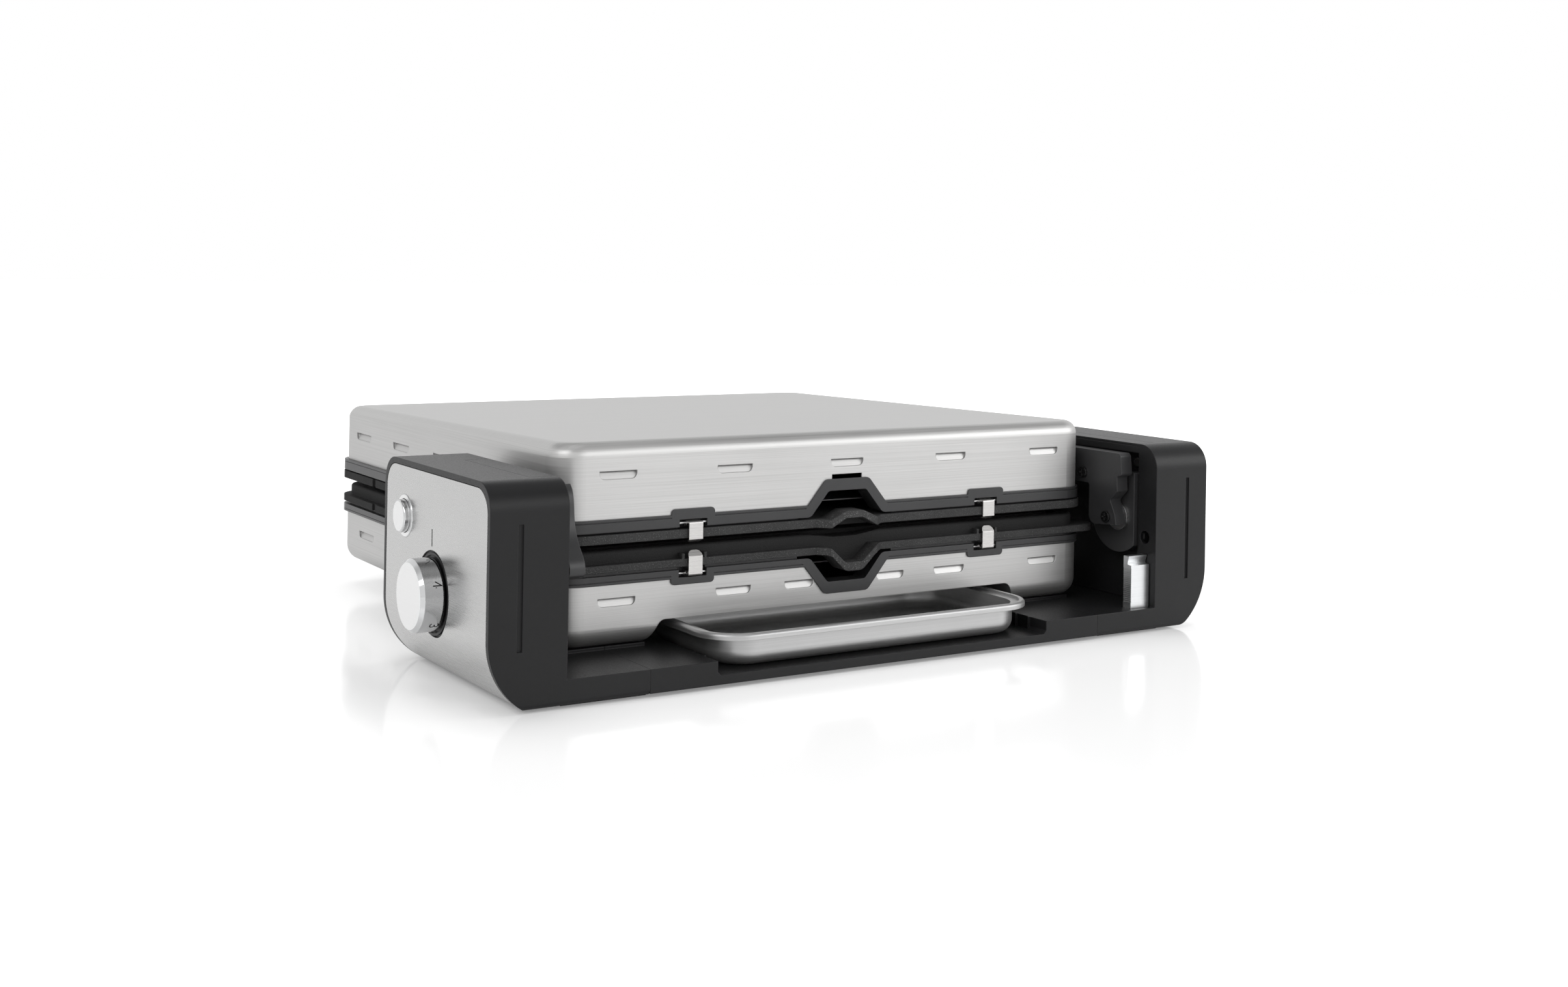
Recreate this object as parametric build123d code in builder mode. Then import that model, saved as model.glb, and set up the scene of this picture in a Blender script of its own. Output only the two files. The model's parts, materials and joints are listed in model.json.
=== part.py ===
from build123d import *
import os

os.makedirs("parts", exist_ok=True)

# A countertop contact grill, seen from its hinge side. Millimetres, +Z up, standing on z = 0.
# Places are given from the middle between the towers (x), the towers' front plane (y) and the table (z).

# Towers and feet
HALF_WIDTH = 250.0
TOWER_THICKNESS = 44.0
TOWER_DEPTH = 151.0
TOWER_TOP = 118.0
UNDERSIDE = 1.5
TOWER_CORNER = 15.0
FOOT_CORNER = 3.0
SWEEP_TOP = 38.0
SWEEP_INSET = 20.5
FOOT_REACH = 48.5
FOOT_TOP = 15.1
WALL = 3.0
BOSS_SINK = 1.0

# Hinge pocket in each tower's inner wall, and the cover that closes the tower behind it
FRAME_DEPTH = 16.5
BACK_FRAME = 6.0
ROOF = 6.0
POCKET_RECESS = 9.0
COVER_THICKNESS = 2.5
LEDGE_WIDTH = 4.0
COVER_GAP = 0.2
COVER_SCREW_EDGE = 9.0
COVER_SCREW_RISE = 2.0

# Steel side panel let into each tower
PANEL_MARGIN = 3.6
PANEL_CORNER = 13.0
PANEL_SHEET = 1.0
PANEL_BACK_GAP = 0.1
PANEL_GAP = 0.5

# Small features of the towers
GROOVE_INSET = 17.0
GROOVE_LOW = 31.7
GROOVE_HIGH = 96.7
GROOVE_WIDTH = 3.0
GROOVE_DEPTH = 1.2
PEEP_RADIUS = 4.15
PEEP_BACK = 10.0
PEEP_HEIGHT = 58.7
STRIP_WIDTH = 14.5
STRIP_FRONT = 19.0
STRIP_BACK = 105.0
STRIP_THICKNESS = 1.5
STRIP_GAP = 0.3
STRIP_BED = 0.1

# Drip tray
TRAY_RIM_HALF = 115.0
TRAY_DECK_WIDTH = 8.0
TRAY_RIM_FRONT = 3.0
TRAY_RIM_BACK = 114.0
TRAY_FRONT_DECK = 5.0
TRAY_RUNNING_GAP = 0.3
TRAY_RIM_LOW = 23.4
TRAY_RIM_HIGH = 27.0
TRAY_SHEET = 1.0
TRAY_CORNER = 22.0
TRAY_RIM_CORNER = 26.0
TRAY_ROLL = 3.4
TRAY_DECK_DROP = 1.6
TRAY_BOTTOM_RADIUS = 8.0

# Cross beam and what it carries
SEAM_GAP = 0.15
BEAM_LOW = 2.2
BAY_GAP = 1.0
BAY_FLOOR = 7.3
BAY_BACK_WALL = 3.0
BAY_CORNER = 2.0
RIB_DEPTH = 1.4
RIB_WIDTH = 0.9
RIB_PLACES = (16.0, 28.0)
STEP_BACKSET = 5.3
STEP_OUTER_INSET = 10.0
BEAM_SCREW_PLACES = (30.0, 120.0)
BEAM_SCREW_HEIGHT = 8.0
BEAM_SCREW_REACH = 5.0

# Casings of the two halves
SHELL_FRONT = 48.7
SHELL_BACK = 404.5
SHELL_CORNER = 17.0
SHEET = 1.0
UPPER_EDGE = 88.0
LID_TOP_FRONT = 131.0
LID_TOP_BACK = 124.5
LID_EDGE_RADIUS = 8.0
LOWER_EDGE = 52.0
PAN_BOTTOM = 17.0
PAN_EDGE_RADIUS = 11.0
TUNNEL_GAP = 10.5
TUNNEL_SPREAD = 7.0
TUNNEL_CEILING = 29.8
TUNNEL_PAST_TOWER = 14.0
TUNNEL_RADIUS = 5.5
TUNNEL_MARGIN = (12.0, 8.0)

# Pressed louvres: the sheet slants in below a cut, so that each has a slot along its top
LOUVRE_HEIGHT = 4.6
LOUVRE_DEPTH = 2.4
LOUVRE_CORNER = 3.2
LOUVRE_WALL = 0.8
LOUVRE_LIP = 0.4
LOUVRE_LONG = 23.3
LOUVRE_SHORT = 20.0
LOUVRE_SIDE = 28.8
UPPER_LOUVRE_DROP = 16.3
LOWER_LOUVRE_DROP = 7.6
UPPER_SIDE_LOUVRE_DROP = 23.0
LOWER_SIDE_LOUVRE_DROP = 11.0
LOUVRE_END = 36.7
LOUVRE_PITCH = 75.3
SHORT_LOUVRE_PLACE = 33.0
SIDE_LOUVRE_END = 45.5
SIDE_LOUVRE_PITCH = 71.0
SIDE_LOUVRE_COUNT = 3
LOWER_SIDE_SHIFT = 8.0

# Plastic rims
RIM_PROUD = 1.0
RIM_BACK_PROUD = 3.0
RIM_CORNER = 19.0
UPPER_BAND = 7.0
LOWER_BAND = 5.0
LEDGE_INSET = 12.0
LEDGE_FRONT_INSET = 11.3
LEDGE_BACK_INSET = 11.5
LIP_HEIGHT = 5.0
LIP_THICKNESS = 2.0
LIP_GAP = 0.2
SEAT_GAP = 0.2
FRAME_SKIN = 0.1
BAND_GROOVE_PLACE = 1.3
BAND_GROOVE_HEIGHT = 0.5
BAND_GROOVE_DEPTH = 0.5

# Grill plates
FLANGE_PROUD = 2.7
FLANGE_BACK_PROUD = 4.0
FLANGE_CORNER = 20.0
UPPER_PLATE_GAP = 1.0
UPPER_PLATE_THICKNESS = 5.0
LOWER_PLATE_GAP = 2.0
LOWER_FLANGE = 4.3
LOWER_PAD_HEIGHT = 7.2
PAD_INSET = 5.0
PAD_EDGE_RADIUS = 2.0
EAR_REACH = 6.7
EAR_CORNER = 12.0
EAR_LENGTH = 50.0
POCKET_INSET = 10.0
POCKET_CEILING = 4.5
GUTTER_INSET = 12.0
GUTTER_WIDTH = 6.0
GUTTER_DEPTH = 2.5
CHANNEL_HALF = 8.0
NOTCH_PLACE = 74.5
NOTCH_LENGTH = 6.0
NOTCH_DEPTH = 1.5

# Drain spouts at the middle of the hinge side
SPOUT_REACH = 6.5
SPOUT_DEPTH = 12.5
SPOUT_HALF = 16.5
SPOUT_FLAT = 6.0
SPOUT_TAPER = 7.0
SPOUT_BEND = 3.0
UPPER_SPOUT_RISE = (4.7, 5.5)
LOWER_SPOUT_DROP = (9.2, 10.0)
VALLEY_HALF = 27.0
VALLEY_DEPTH = 2.5
SPOUT_SLOPE = 0.8333
OPENING_HALF = 26.0
OPENING_RISE = 15.0
OPENING_BEND = 3.0
MOUTH_FLARE = 8.0
MOUTH_PAST = 2.0
MOUTH_BEND = 5.0
SURROUND_HALF = 33.8
SURROUND_RISE = 22.0
SURROUND_WALL = 1.5
SURROUND_BEND = 4.5
NOTCH_GAP = 0.3
SLOT_HALF = 10.8
SLOT_RISE = 2.6

# Spring clips that hold the plates
CLIP_PLACE = 105.6
CLIP_WIDTH = 9.0
CLIP_SHEET = 1.2
CLIP_STANDOFF = 1.5
CLIP_PIN_INSET = 0.9
CLIP_PIN_RADIUS = 0.9
CLIP_EYE_RADIUS = 1.9
PIN_FIT = 0.03
PIN_TO_EDGE = 2.2
UPPER_CLIP_DROP = 2.4
LOWER_CLIP_RISE = 4.7
UPPER_CURL = 1.6
LOWER_CURL = 3.4
CLIP_CURL_ROUND = 0.95
HOOK_REACH = 2.0
CLIP_SIDE_GAP = 4.5
CLIP_POCKET_BACK = 2.4
CLIP_POCKET_HEIGHT = 4.3
CLIP_BROW_WIDTH = 5.0
CLIP_BROW_HEIGHT = 3.4
CLIP_BROW_CORNER = 2.4
CLIP_PIN_REACH = 3.0
PIN_END_GAP = 0.2
PLATE_NOTCH_GAP = 1.9
PLATE_NOTCH_WALL = 1.6
PLATE_NOTCH_RISE = 3.0

# Heating elements and reflectors
TUBE_RADIUS = 3.25
HEATER_INSET = 28.0
HEATER_FRONT = 95.0
HEATER_BACK_INSET = 33.0
HEATER_BEND = 40.0
HEATER_GAP = 0.3
LOWER_HEATER_RISE = 9.5
REFLECTOR_SHEET = 0.8
REFLECTOR_GAP = 0.4
REFLECTOR_NOTCH = (4.0, 2.0)
CLAMP_WIDTH = 12.0
CLAMP_ENDS = (65.0, 60.0)

# Hinge
AXLE_BACK = 31.5
AXLE_HEIGHT = 70.0
AXLE_RADIUS = 4.0
AXLE_INSET = 2.0
AXLE_OVERHANG = 3.0
AXLE_FIT = 0.05
AXLE_HOLE_GAP = 1.0
BUSH_WALL = 2.5
BUSH_RING = 2.5
BUSH_FLANGE = 1.6
BRACKET_REACH = 2.7
BRACKET_BACK = 33.0
BRACKET_RADIUS = 23.5
BRACKET_FRONT = 17.5
BRACKET_TOP = 99.0
ARM_GAP = 0.2
ARM_THICKNESS = 9.0
ARM_STANDOFF = 2.5
RIM_ARM_GAP = 0.2
ARM_TOP = 112.0
ARM_UNDER = 90.2
ARM_BACK = 120.0
ARM_PAD_FRONT = 75.0
ARM_PAD_LOW = 94.0
ARM_PAD_HIGH = 109.0
ARM_BEND = 1.5
ARM_HEEL = (48.3, 63.7)
ARM_HEEL_RADIUS = 5.5
RIGHT_ARM_FRONT = ((22.5, 65.7), (23.7, 72.3), (28.3, 81.1), (21.6, 87.3), (22.2, 96.8),
                   (17.7, 98.1), (19.0, 110.2), (20.8, ARM_TOP))
LEFT_ARM_FRONT = ((12.0, 64.5), (8.6, 67.8), (9.1, 72.4), (11.9, 76.5), (15.7, 80.6),
                  (19.7, 86.6), (22.3, 94.1), (25.4, 108.9), (28.2, ARM_TOP))
ARM_SCREW = (53.8, 96.5)
ARM_SCREW_HOLE = 7.0
ARM_SCREW_LENGTH = 6.5
ARM_BOLT_ENDS = (8.0, 12.0)
RETAINER_RING = 3.5
RETAINER_THICKNESS = 1.5
RETAINER_GAP = 0.5

# Stop lever that stands on the right foot
LEVER_FRONT = 5.0
LEVER_BACK = 12.0
LEVER_TOP = 48.0
LEVER_LOW = 7.0
LEVER_SHOULDER = (42.3, 42.8, 44.0)
LEVER_NECK = 8.3
LEVER_CREST = 7.0
LEVER_GAP = 0.6
LEVER_WIDTH = 15.4
LEVER_PIN_BACK = 8.5
LEVER_PIN_HEIGHT = 11.0
LEVER_PIN_RADIUS = 1.5
LEVER_PIN_REACH = 3.8
LEVER_SLOT_FRONT = 3.4
LEVER_SLOT_BACK = 13.6
LEVER_SLOT_FLOOR = 5.2
LEVER_SLOT_GAP = 0.4
SERRATION_PITCH = 1.2
SERRATION_DEPTH = 0.3
SERRATION_HEIGHT = 0.6
SERRATION_START = 4.0
SERRATION_STOP = 2.3

# Controls on the left tower
KNOB_BACK = 76.5
KNOB_HEIGHT = 50.3
KNOB_RADIUS = 19.8
KNOB_PROUD = 13.5
KNOB_GAP = 0.6
KNOB_BEVEL = 2.0
KNOB_WALL = 2.0
KNOB_HUB_RADIUS = 6.0
KNOB_RING_GAP = 3.6
KNOB_SEAT_GAPS = (1.0, 2.4)
KNOB_SEAT_HEIGHT = 0.8
SHAFT_RADIUS = 3.0
SHAFT_FIT = 0.05
SHAFT_HOLE_GAP = 1.0
SHAFT_END_GAP = 0.5
SHAFT_INSIDE = 12.0
THERMOSTAT_SIZE = 26.0
THERMOSTAT_TRIM = 1.0
THERMOSTAT_DEPTH = 20.0
BUTTON_BACK = 119.0
BUTTON_HEIGHT = 87.0
BUTTON_RADIUS = 9.2
BUTTON_PROUD = 4.0
BUTTON_LENGTH = 10.0
BUTTON_EDGE = 1.2
BUTTON_FIT = 0.3
BUTTON_TRAVEL = 2.5
BEZEL_RING = 2.8
BEZEL_PROUD = 0.5
BEZEL_BEVEL = 0.4
BEZEL_FIT = 0.05
STEM_RADIUS = 3.0
STEM_LENGTH = 6.0
STOP_GAP = 0.4
SWITCH_SIZE = 26.0
SWITCH_DEPTH = 22.0
TERMINAL_DEPTH = 16.0
TERMINAL_BACK = (92.0, 128.0)
TERMINAL_HEIGHT = (24.0, 42.0)

# Handle on the free side of the lid
HANDLE_HALF = 100.0
HANDLE_REACH = 50.0
HANDLE_HEIGHT = 106.0
GRIP_RADIUS = 10.0
GRIP_OVERHANG = 22.0
GRIP_EDGE = 3.0
GRIP_FIT = 0.05
HANDLE_POST_WIDTH = 14.0
HANDLE_POST_HEIGHT = 16.0
HANDLE_POST_EDGE = 2.5
HANDLE_BOLT_LENGTH = 14.0

# Feet, underside and small hardware
PAD_RADIUS = 8.0
PAD_RECESS = 1.0
PAD_PLACES = (22.0, 128.0)
PAD_INBOARD = 8.0
COVER_SHEET = 2.0
LEG_RADIUS = 14.0
LEG_TAPER = 3.0
LEG_PAD_HEIGHT = 3.0
LEG_PAD_INSET = 2.0
LEG_PLACE = 120.0
LEG_BACK_INSET = 44.5
SCREW_RADIUS = 1.5
SCREW_HEAD_RADIUS = 2.9
SCREW_HEAD = 1.8
SCREW_LENGTH = 10.0
SCREW_TIP_GAP = 1.0
SCREW_FIT = 0.1
BOSS_RADIUS = 4.5
CROSS_HEAD_RADIUS = 3.6
CROSS_HEAD = 1.6
CROSS_SLOT = 1.0
CROSS_LENGTH = 4.4
CROSS_SLOT_DEPTH = 0.9
BOLT_RADIUS = 2.5
BOLT_HEAD_RADIUS = 4.5
BOLT_HEAD = 2.5
GLAND_RADIUS = 6.0
GLAND_BORE = 3.6
GLAND_COLLAR = 3.0
GLAND_COLLAR_LENGTH = 2.0
GLAND_NOSE = 8.0
GLAND_HEIGHT = 30.0
GLAND_INSET = 19.0

# Values worked out from the sizes above: the row from a tower's inner wall to the middle
TOWER_INNER = HALF_WIDTH - TOWER_THICKNESS
SEAM = TOWER_INNER - FOOT_REACH
POCKET_WALL = TOWER_INNER + POCKET_RECESS
COVER_BACK = POCKET_WALL + COVER_THICKNESS
LEDGE_BACK = COVER_BACK + COVER_THICKNESS
POCKET_TOP = TOWER_TOP - ROOF
POCKET_BACK = TOWER_DEPTH - BACK_FRAME
INSIDE = HALF_WIDTH - WALL
BRACKET_INNER = TOWER_INNER - BRACKET_REACH
ARM_INNER = BRACKET_INNER - BUSH_FLANGE - ARM_GAP - ARM_THICKNESS
SHELL_HALF = ARM_INNER - ARM_STANDOFF
RIM_HALF = ARM_INNER - RIM_ARM_GAP
LEDGE_HALF = SHELL_HALF - LEDGE_INSET
HEATER_HALF = LEDGE_HALF - HEATER_INSET
AXLE_START = ARM_INNER + AXLE_INSET
AXLE_END = COVER_BACK + RETAINER_GAP + RETAINER_THICKNESS + AXLE_OVERHANG
LEVER_OUTER = TOWER_INNER - LEVER_GAP
LEVER_INNER = LEVER_OUTER - LEVER_WIDTH

# The row from front to back
RIM_FRONT = SHELL_FRONT - RIM_PROUD
RIM_BACK = SHELL_BACK + RIM_BACK_PROUD
LEDGE_FRONT = SHELL_FRONT + LEDGE_FRONT_INSET
LEDGE_BACK_EDGE = SHELL_BACK - LEDGE_BACK_INSET
FLANGE_FRONT = SHELL_FRONT - FLANGE_PROUD
FLANGE_BACK = SHELL_BACK + FLANGE_BACK_PROUD
CLIP_FACE = FLANGE_FRONT - CLIP_STANDOFF
CLIP_PIN_BACK = SHELL_FRONT + CLIP_PIN_INSET
HOOK_TIP = FLANGE_FRONT + HOOK_REACH
SPOUT_FRONT = FLANGE_FRONT - SPOUT_REACH
STEP_FRONT = SHELL_FRONT + STEP_BACKSET
HEATER_BACK = LEDGE_BACK_EDGE - HEATER_BACK_INSET
CLAMP_BACKS = (HEATER_FRONT + CLAMP_ENDS[0], HEATER_BACK - CLAMP_ENDS[1])
TUNNEL_BACK = TOWER_DEPTH + TUNNEL_PAST_TOWER
LEG_BACK = SHELL_BACK - LEG_BACK_INSET
HANDLE_END = SHELL_BACK + HANDLE_REACH + GRIP_RADIUS

# The stack from the lower casing to the upper one
LOWER_RIM_EDGE = LOWER_EDGE + LOWER_BAND
LOWER_PLATE_LOW = LOWER_RIM_EDGE + LOWER_PLATE_GAP
LOWER_FLANGE_TOP = LOWER_PLATE_LOW + LOWER_FLANGE
LOWER_PLATE_TOP = LOWER_FLANGE_TOP + LOWER_PAD_HEIGHT
LOWER_HEATER_HEIGHT = LOWER_EDGE + LOWER_HEATER_RISE
UPPER_RIM_EDGE = UPPER_EDGE - UPPER_BAND
UPPER_PLATE_HIGH = UPPER_RIM_EDGE - UPPER_PLATE_GAP
UPPER_PLATE_LOW = UPPER_PLATE_HIGH - UPPER_PLATE_THICKNESS
UPPER_HEATER_HEIGHT = UPPER_EDGE - HEATER_GAP - TUBE_RADIUS
UPPER_CLIP_PIN = UPPER_RIM_EDGE + PIN_TO_EDGE
LOWER_CLIP_PIN = LOWER_RIM_EDGE - PIN_TO_EDGE

# Tray, its bay and its tunnel
TRAY_HALF = TRAY_RIM_HALF - TRAY_DECK_WIDTH
TRAY_LOW = BAY_FLOOR + TRAY_RUNNING_GAP
TRAY_DECK = TRAY_RIM_HIGH - TRAY_DECK_DROP
BAY_HALF = TRAY_RIM_HALF + BAY_GAP
TUNNEL_HALF = TRAY_RIM_HALF + TUNNEL_GAP
STEP_INNER = TUNNEL_HALF + TUNNEL_SPREAD - SEAT_GAP
STEP_OUTER = SHELL_HALF - STEP_OUTER_INSET

# Round fits
BUSH_RADIUS = AXLE_RADIUS + BUSH_WALL
BUSH_FLANGE_RADIUS = BUSH_RADIUS + BUSH_RING
RETAINER_RADIUS = AXLE_RADIUS + RETAINER_RING
KNOB_RING_RADIUS = KNOB_RADIUS + KNOB_RING_GAP
BEZEL_RADIUS = BUTTON_RADIUS + BEZEL_RING

# Clip pockets, and the lip of each rim inside its casing
CLIP_POCKET_HALF = CLIP_WIDTH / 2 + CLIP_SIDE_GAP
CLIP_BROW_HALF = CLIP_POCKET_HALF + CLIP_BROW_WIDTH
CLIP_PIN_HALF = CLIP_POCKET_HALF + CLIP_PIN_REACH
LIP_HALF = SHELL_HALF - SHEET - LIP_GAP
LIP_FRONT = SHELL_FRONT + SHEET + LIP_GAP
LIP_BACK = SHELL_BACK - SHEET - LIP_GAP
LIP_CORNER = SHELL_CORNER - SHEET - LIP_GAP

# The part's frame: middle of the whole outline
MID_X = KNOB_PROUD / 2
FRONT_Y = -HANDLE_END / 2
SIDES = (("left", -1), ("right", 1))


def level(z):
    """A horizontal plane, with x to the right and y to the back."""
    return Plane(origin=(MID_X, FRONT_Y, z))


def side(x):
    """A plane square to X, with y to the back and z up."""
    return Plane(origin=(MID_X + x, FRONT_Y, 0), x_dir=(0, 1, 0), z_dir=(1, 0, 0))


def face(y):
    """A plane square to Y that faces the viewer, with x to the right and z up."""
    return Plane(origin=(MID_X, FRONT_Y + y, 0), x_dir=(1, 0, 0), z_dir=(0, -1, 0))


def spot(x, y, z):
    """A point of the object in the part's frame."""
    return (MID_X + x, FRONT_Y + y, z)


def block(x_span, y_span, z_span, mode=Mode.ADD):
    """Adds a box to the open part, or cuts it, between two values on each axis."""
    spans = (x_span, y_span, z_span)
    middle = [sum(span) / 2 for span in spans]
    with Locations(spot(*middle)):
        Box(*[abs(span[1] - span[0]) for span in spans], mode=mode)


def rod(x_span, y, z, radius, mode=Mode.ADD):
    """Adds a round bar along X to the open part, or cuts it."""
    with Locations(Location(spot(sum(x_span) / 2, y, z), (0, 90, 0))):
        Cylinder(radius, abs(x_span[1] - x_span[0]), mode=mode)


def dowel(x, y_span, z, radius, mode=Mode.ADD):
    """Adds a round bar along Y to the open part, or cuts it."""
    with Locations(Location(spot(x, sum(y_span) / 2, z), (90, 0, 0))):
        Cylinder(radius, abs(y_span[1] - y_span[0]), mode=mode)


def post(x, y, z_span, radius, mode=Mode.ADD):
    """Adds an upright round bar to the open part, or cuts it."""
    with Locations(spot(x, y, sum(z_span) / 2)):
        Cylinder(radius, abs(z_span[1] - z_span[0]), mode=mode)


def slab(z_span, half, front, back, corner, mode=Mode.ADD):
    """Adds a level plate with rounded corners to the open part, or cuts it."""
    with BuildSketch(level(z_span[0])) as outline:
        with Locations((0, (front + back) / 2)):
            RectangleRounded(2 * half, back - front, corner)
    extrude(outline.sketch, amount=z_span[1] - z_span[0], mode=mode)


def prism_x(points, x_span, mode=Mode.ADD):
    """Adds or cuts a bar along X with a straight-sided outline of (y, z) points."""
    with BuildSketch(side(x_span[0])) as outline:
        with BuildLine():
            Polyline(*points, close=True)
        make_face()
    extrude(outline.sketch, amount=abs(x_span[1] - x_span[0]), mode=mode,
            dir=(x_span[1] - x_span[0], 0, 0))


def prism_y(points, y_span, bends=None, mode=Mode.ADD):
    """Adds or cuts a bar along Y with an outline of (x, z) points, rounded by a bend at each inner point."""
    with BuildSketch(face(y_span[0])) as outline:
        with BuildLine():
            if bends:
                FilletPolyline(*points, radius=bends, close=False)
                Line(points[-1], points[0])
            else:
                Polyline(*points, close=True)
        make_face()
    extrude(outline.sketch, amount=y_span[1] - y_span[0], mode=mode, dir=(0, 1, 0))


def save(part, name):
    """Labels a finished piece and writes it."""
    part.label = name
    export_step(part, f"parts/{name}.step")


def tower_form(outward, inset=0.0, end_inset=0.0):
    """A whole tower with its foot: front outline along Y, rounded where it is seen from the side."""
    outer = outward * HALF_WIDTH
    inner = outward * TOWER_INNER
    seam = outward * SEAM
    turn_in = outward * (HALF_WIDTH - SWEEP_INSET)
    with BuildPart() as form:
        with BuildSketch(face(0)) as outline:
            with BuildLine():
                Polyline((outer, SWEEP_TOP), (outer, TOWER_TOP), (inner, TOWER_TOP), (inner, FOOT_TOP),
                         (seam, FOOT_TOP), (seam, UNDERSIDE), (turn_in, UNDERSIDE))
                TangentArc((outer, SWEEP_TOP), (turn_in, UNDERSIDE), tangent=(0, -1))
            make_face()
            if inset:
                offset(amount=-inset, kind=Kind.INTERSECTION, mode=Mode.REPLACE)
        extrude(outline.sketch, amount=TOWER_DEPTH, dir=(0, 1, 0))
        with BuildSketch(side(-HALF_WIDTH - WALL)) as profile:
            with Locations((TOWER_DEPTH / 2, (TOWER_TOP + UNDERSIDE) / 2)):
                Rectangle(TOWER_DEPTH - 2 * end_inset, TOWER_TOP - UNDERSIDE - 2 * end_inset)
            fillet(profile.vertices().group_by(Axis.Y)[-1], TOWER_CORNER - end_inset)
            if not end_inset:
                fillet(profile.vertices().group_by(Axis.Y)[0], FOOT_CORNER)
        extrude(profile.sketch, amount=2 * (HALF_WIDTH + WALL), mode=Mode.INTERSECT)
    return form.part


def side_skin(outward, depth, grow):
    """The outer layer of a tower within the side panel's outline, widened by grow."""
    outside = tower_form(outward)
    inside = tower_form(outward, depth)
    low = UNDERSIDE - WALL
    high = TOWER_TOP - PANEL_MARGIN + grow
    with BuildPart() as skin:
        add(outside)
        add(inside, mode=Mode.SUBTRACT)
        with BuildSketch(side(outward * (HALF_WIDTH + WALL))) as window:
            with Locations((TOWER_DEPTH / 2, (low + high) / 2)):
                Rectangle(TOWER_DEPTH - 2 * PANEL_MARGIN + 2 * grow, high - low)
            fillet(window.vertices().group_by(Axis.Y)[-1], PANEL_CORNER + grow)
        extrude(window.sketch, amount=WALL + SWEEP_INSET + grow, dir=(-outward, 0, 0), mode=Mode.INTERSECT)
    return skin.part


def cover_screw_places():
    """Back and height of the screws that hold each inner cover."""
    low = FOOT_TOP + COVER_SCREW_EDGE
    high = POCKET_TOP - COVER_SCREW_EDGE + COVER_SCREW_RISE
    backs = (FRAME_DEPTH + COVER_SCREW_EDGE, POCKET_BACK - COVER_SCREW_EDGE)
    return [(y, z) for y in backs for z in (low, high)]


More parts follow.
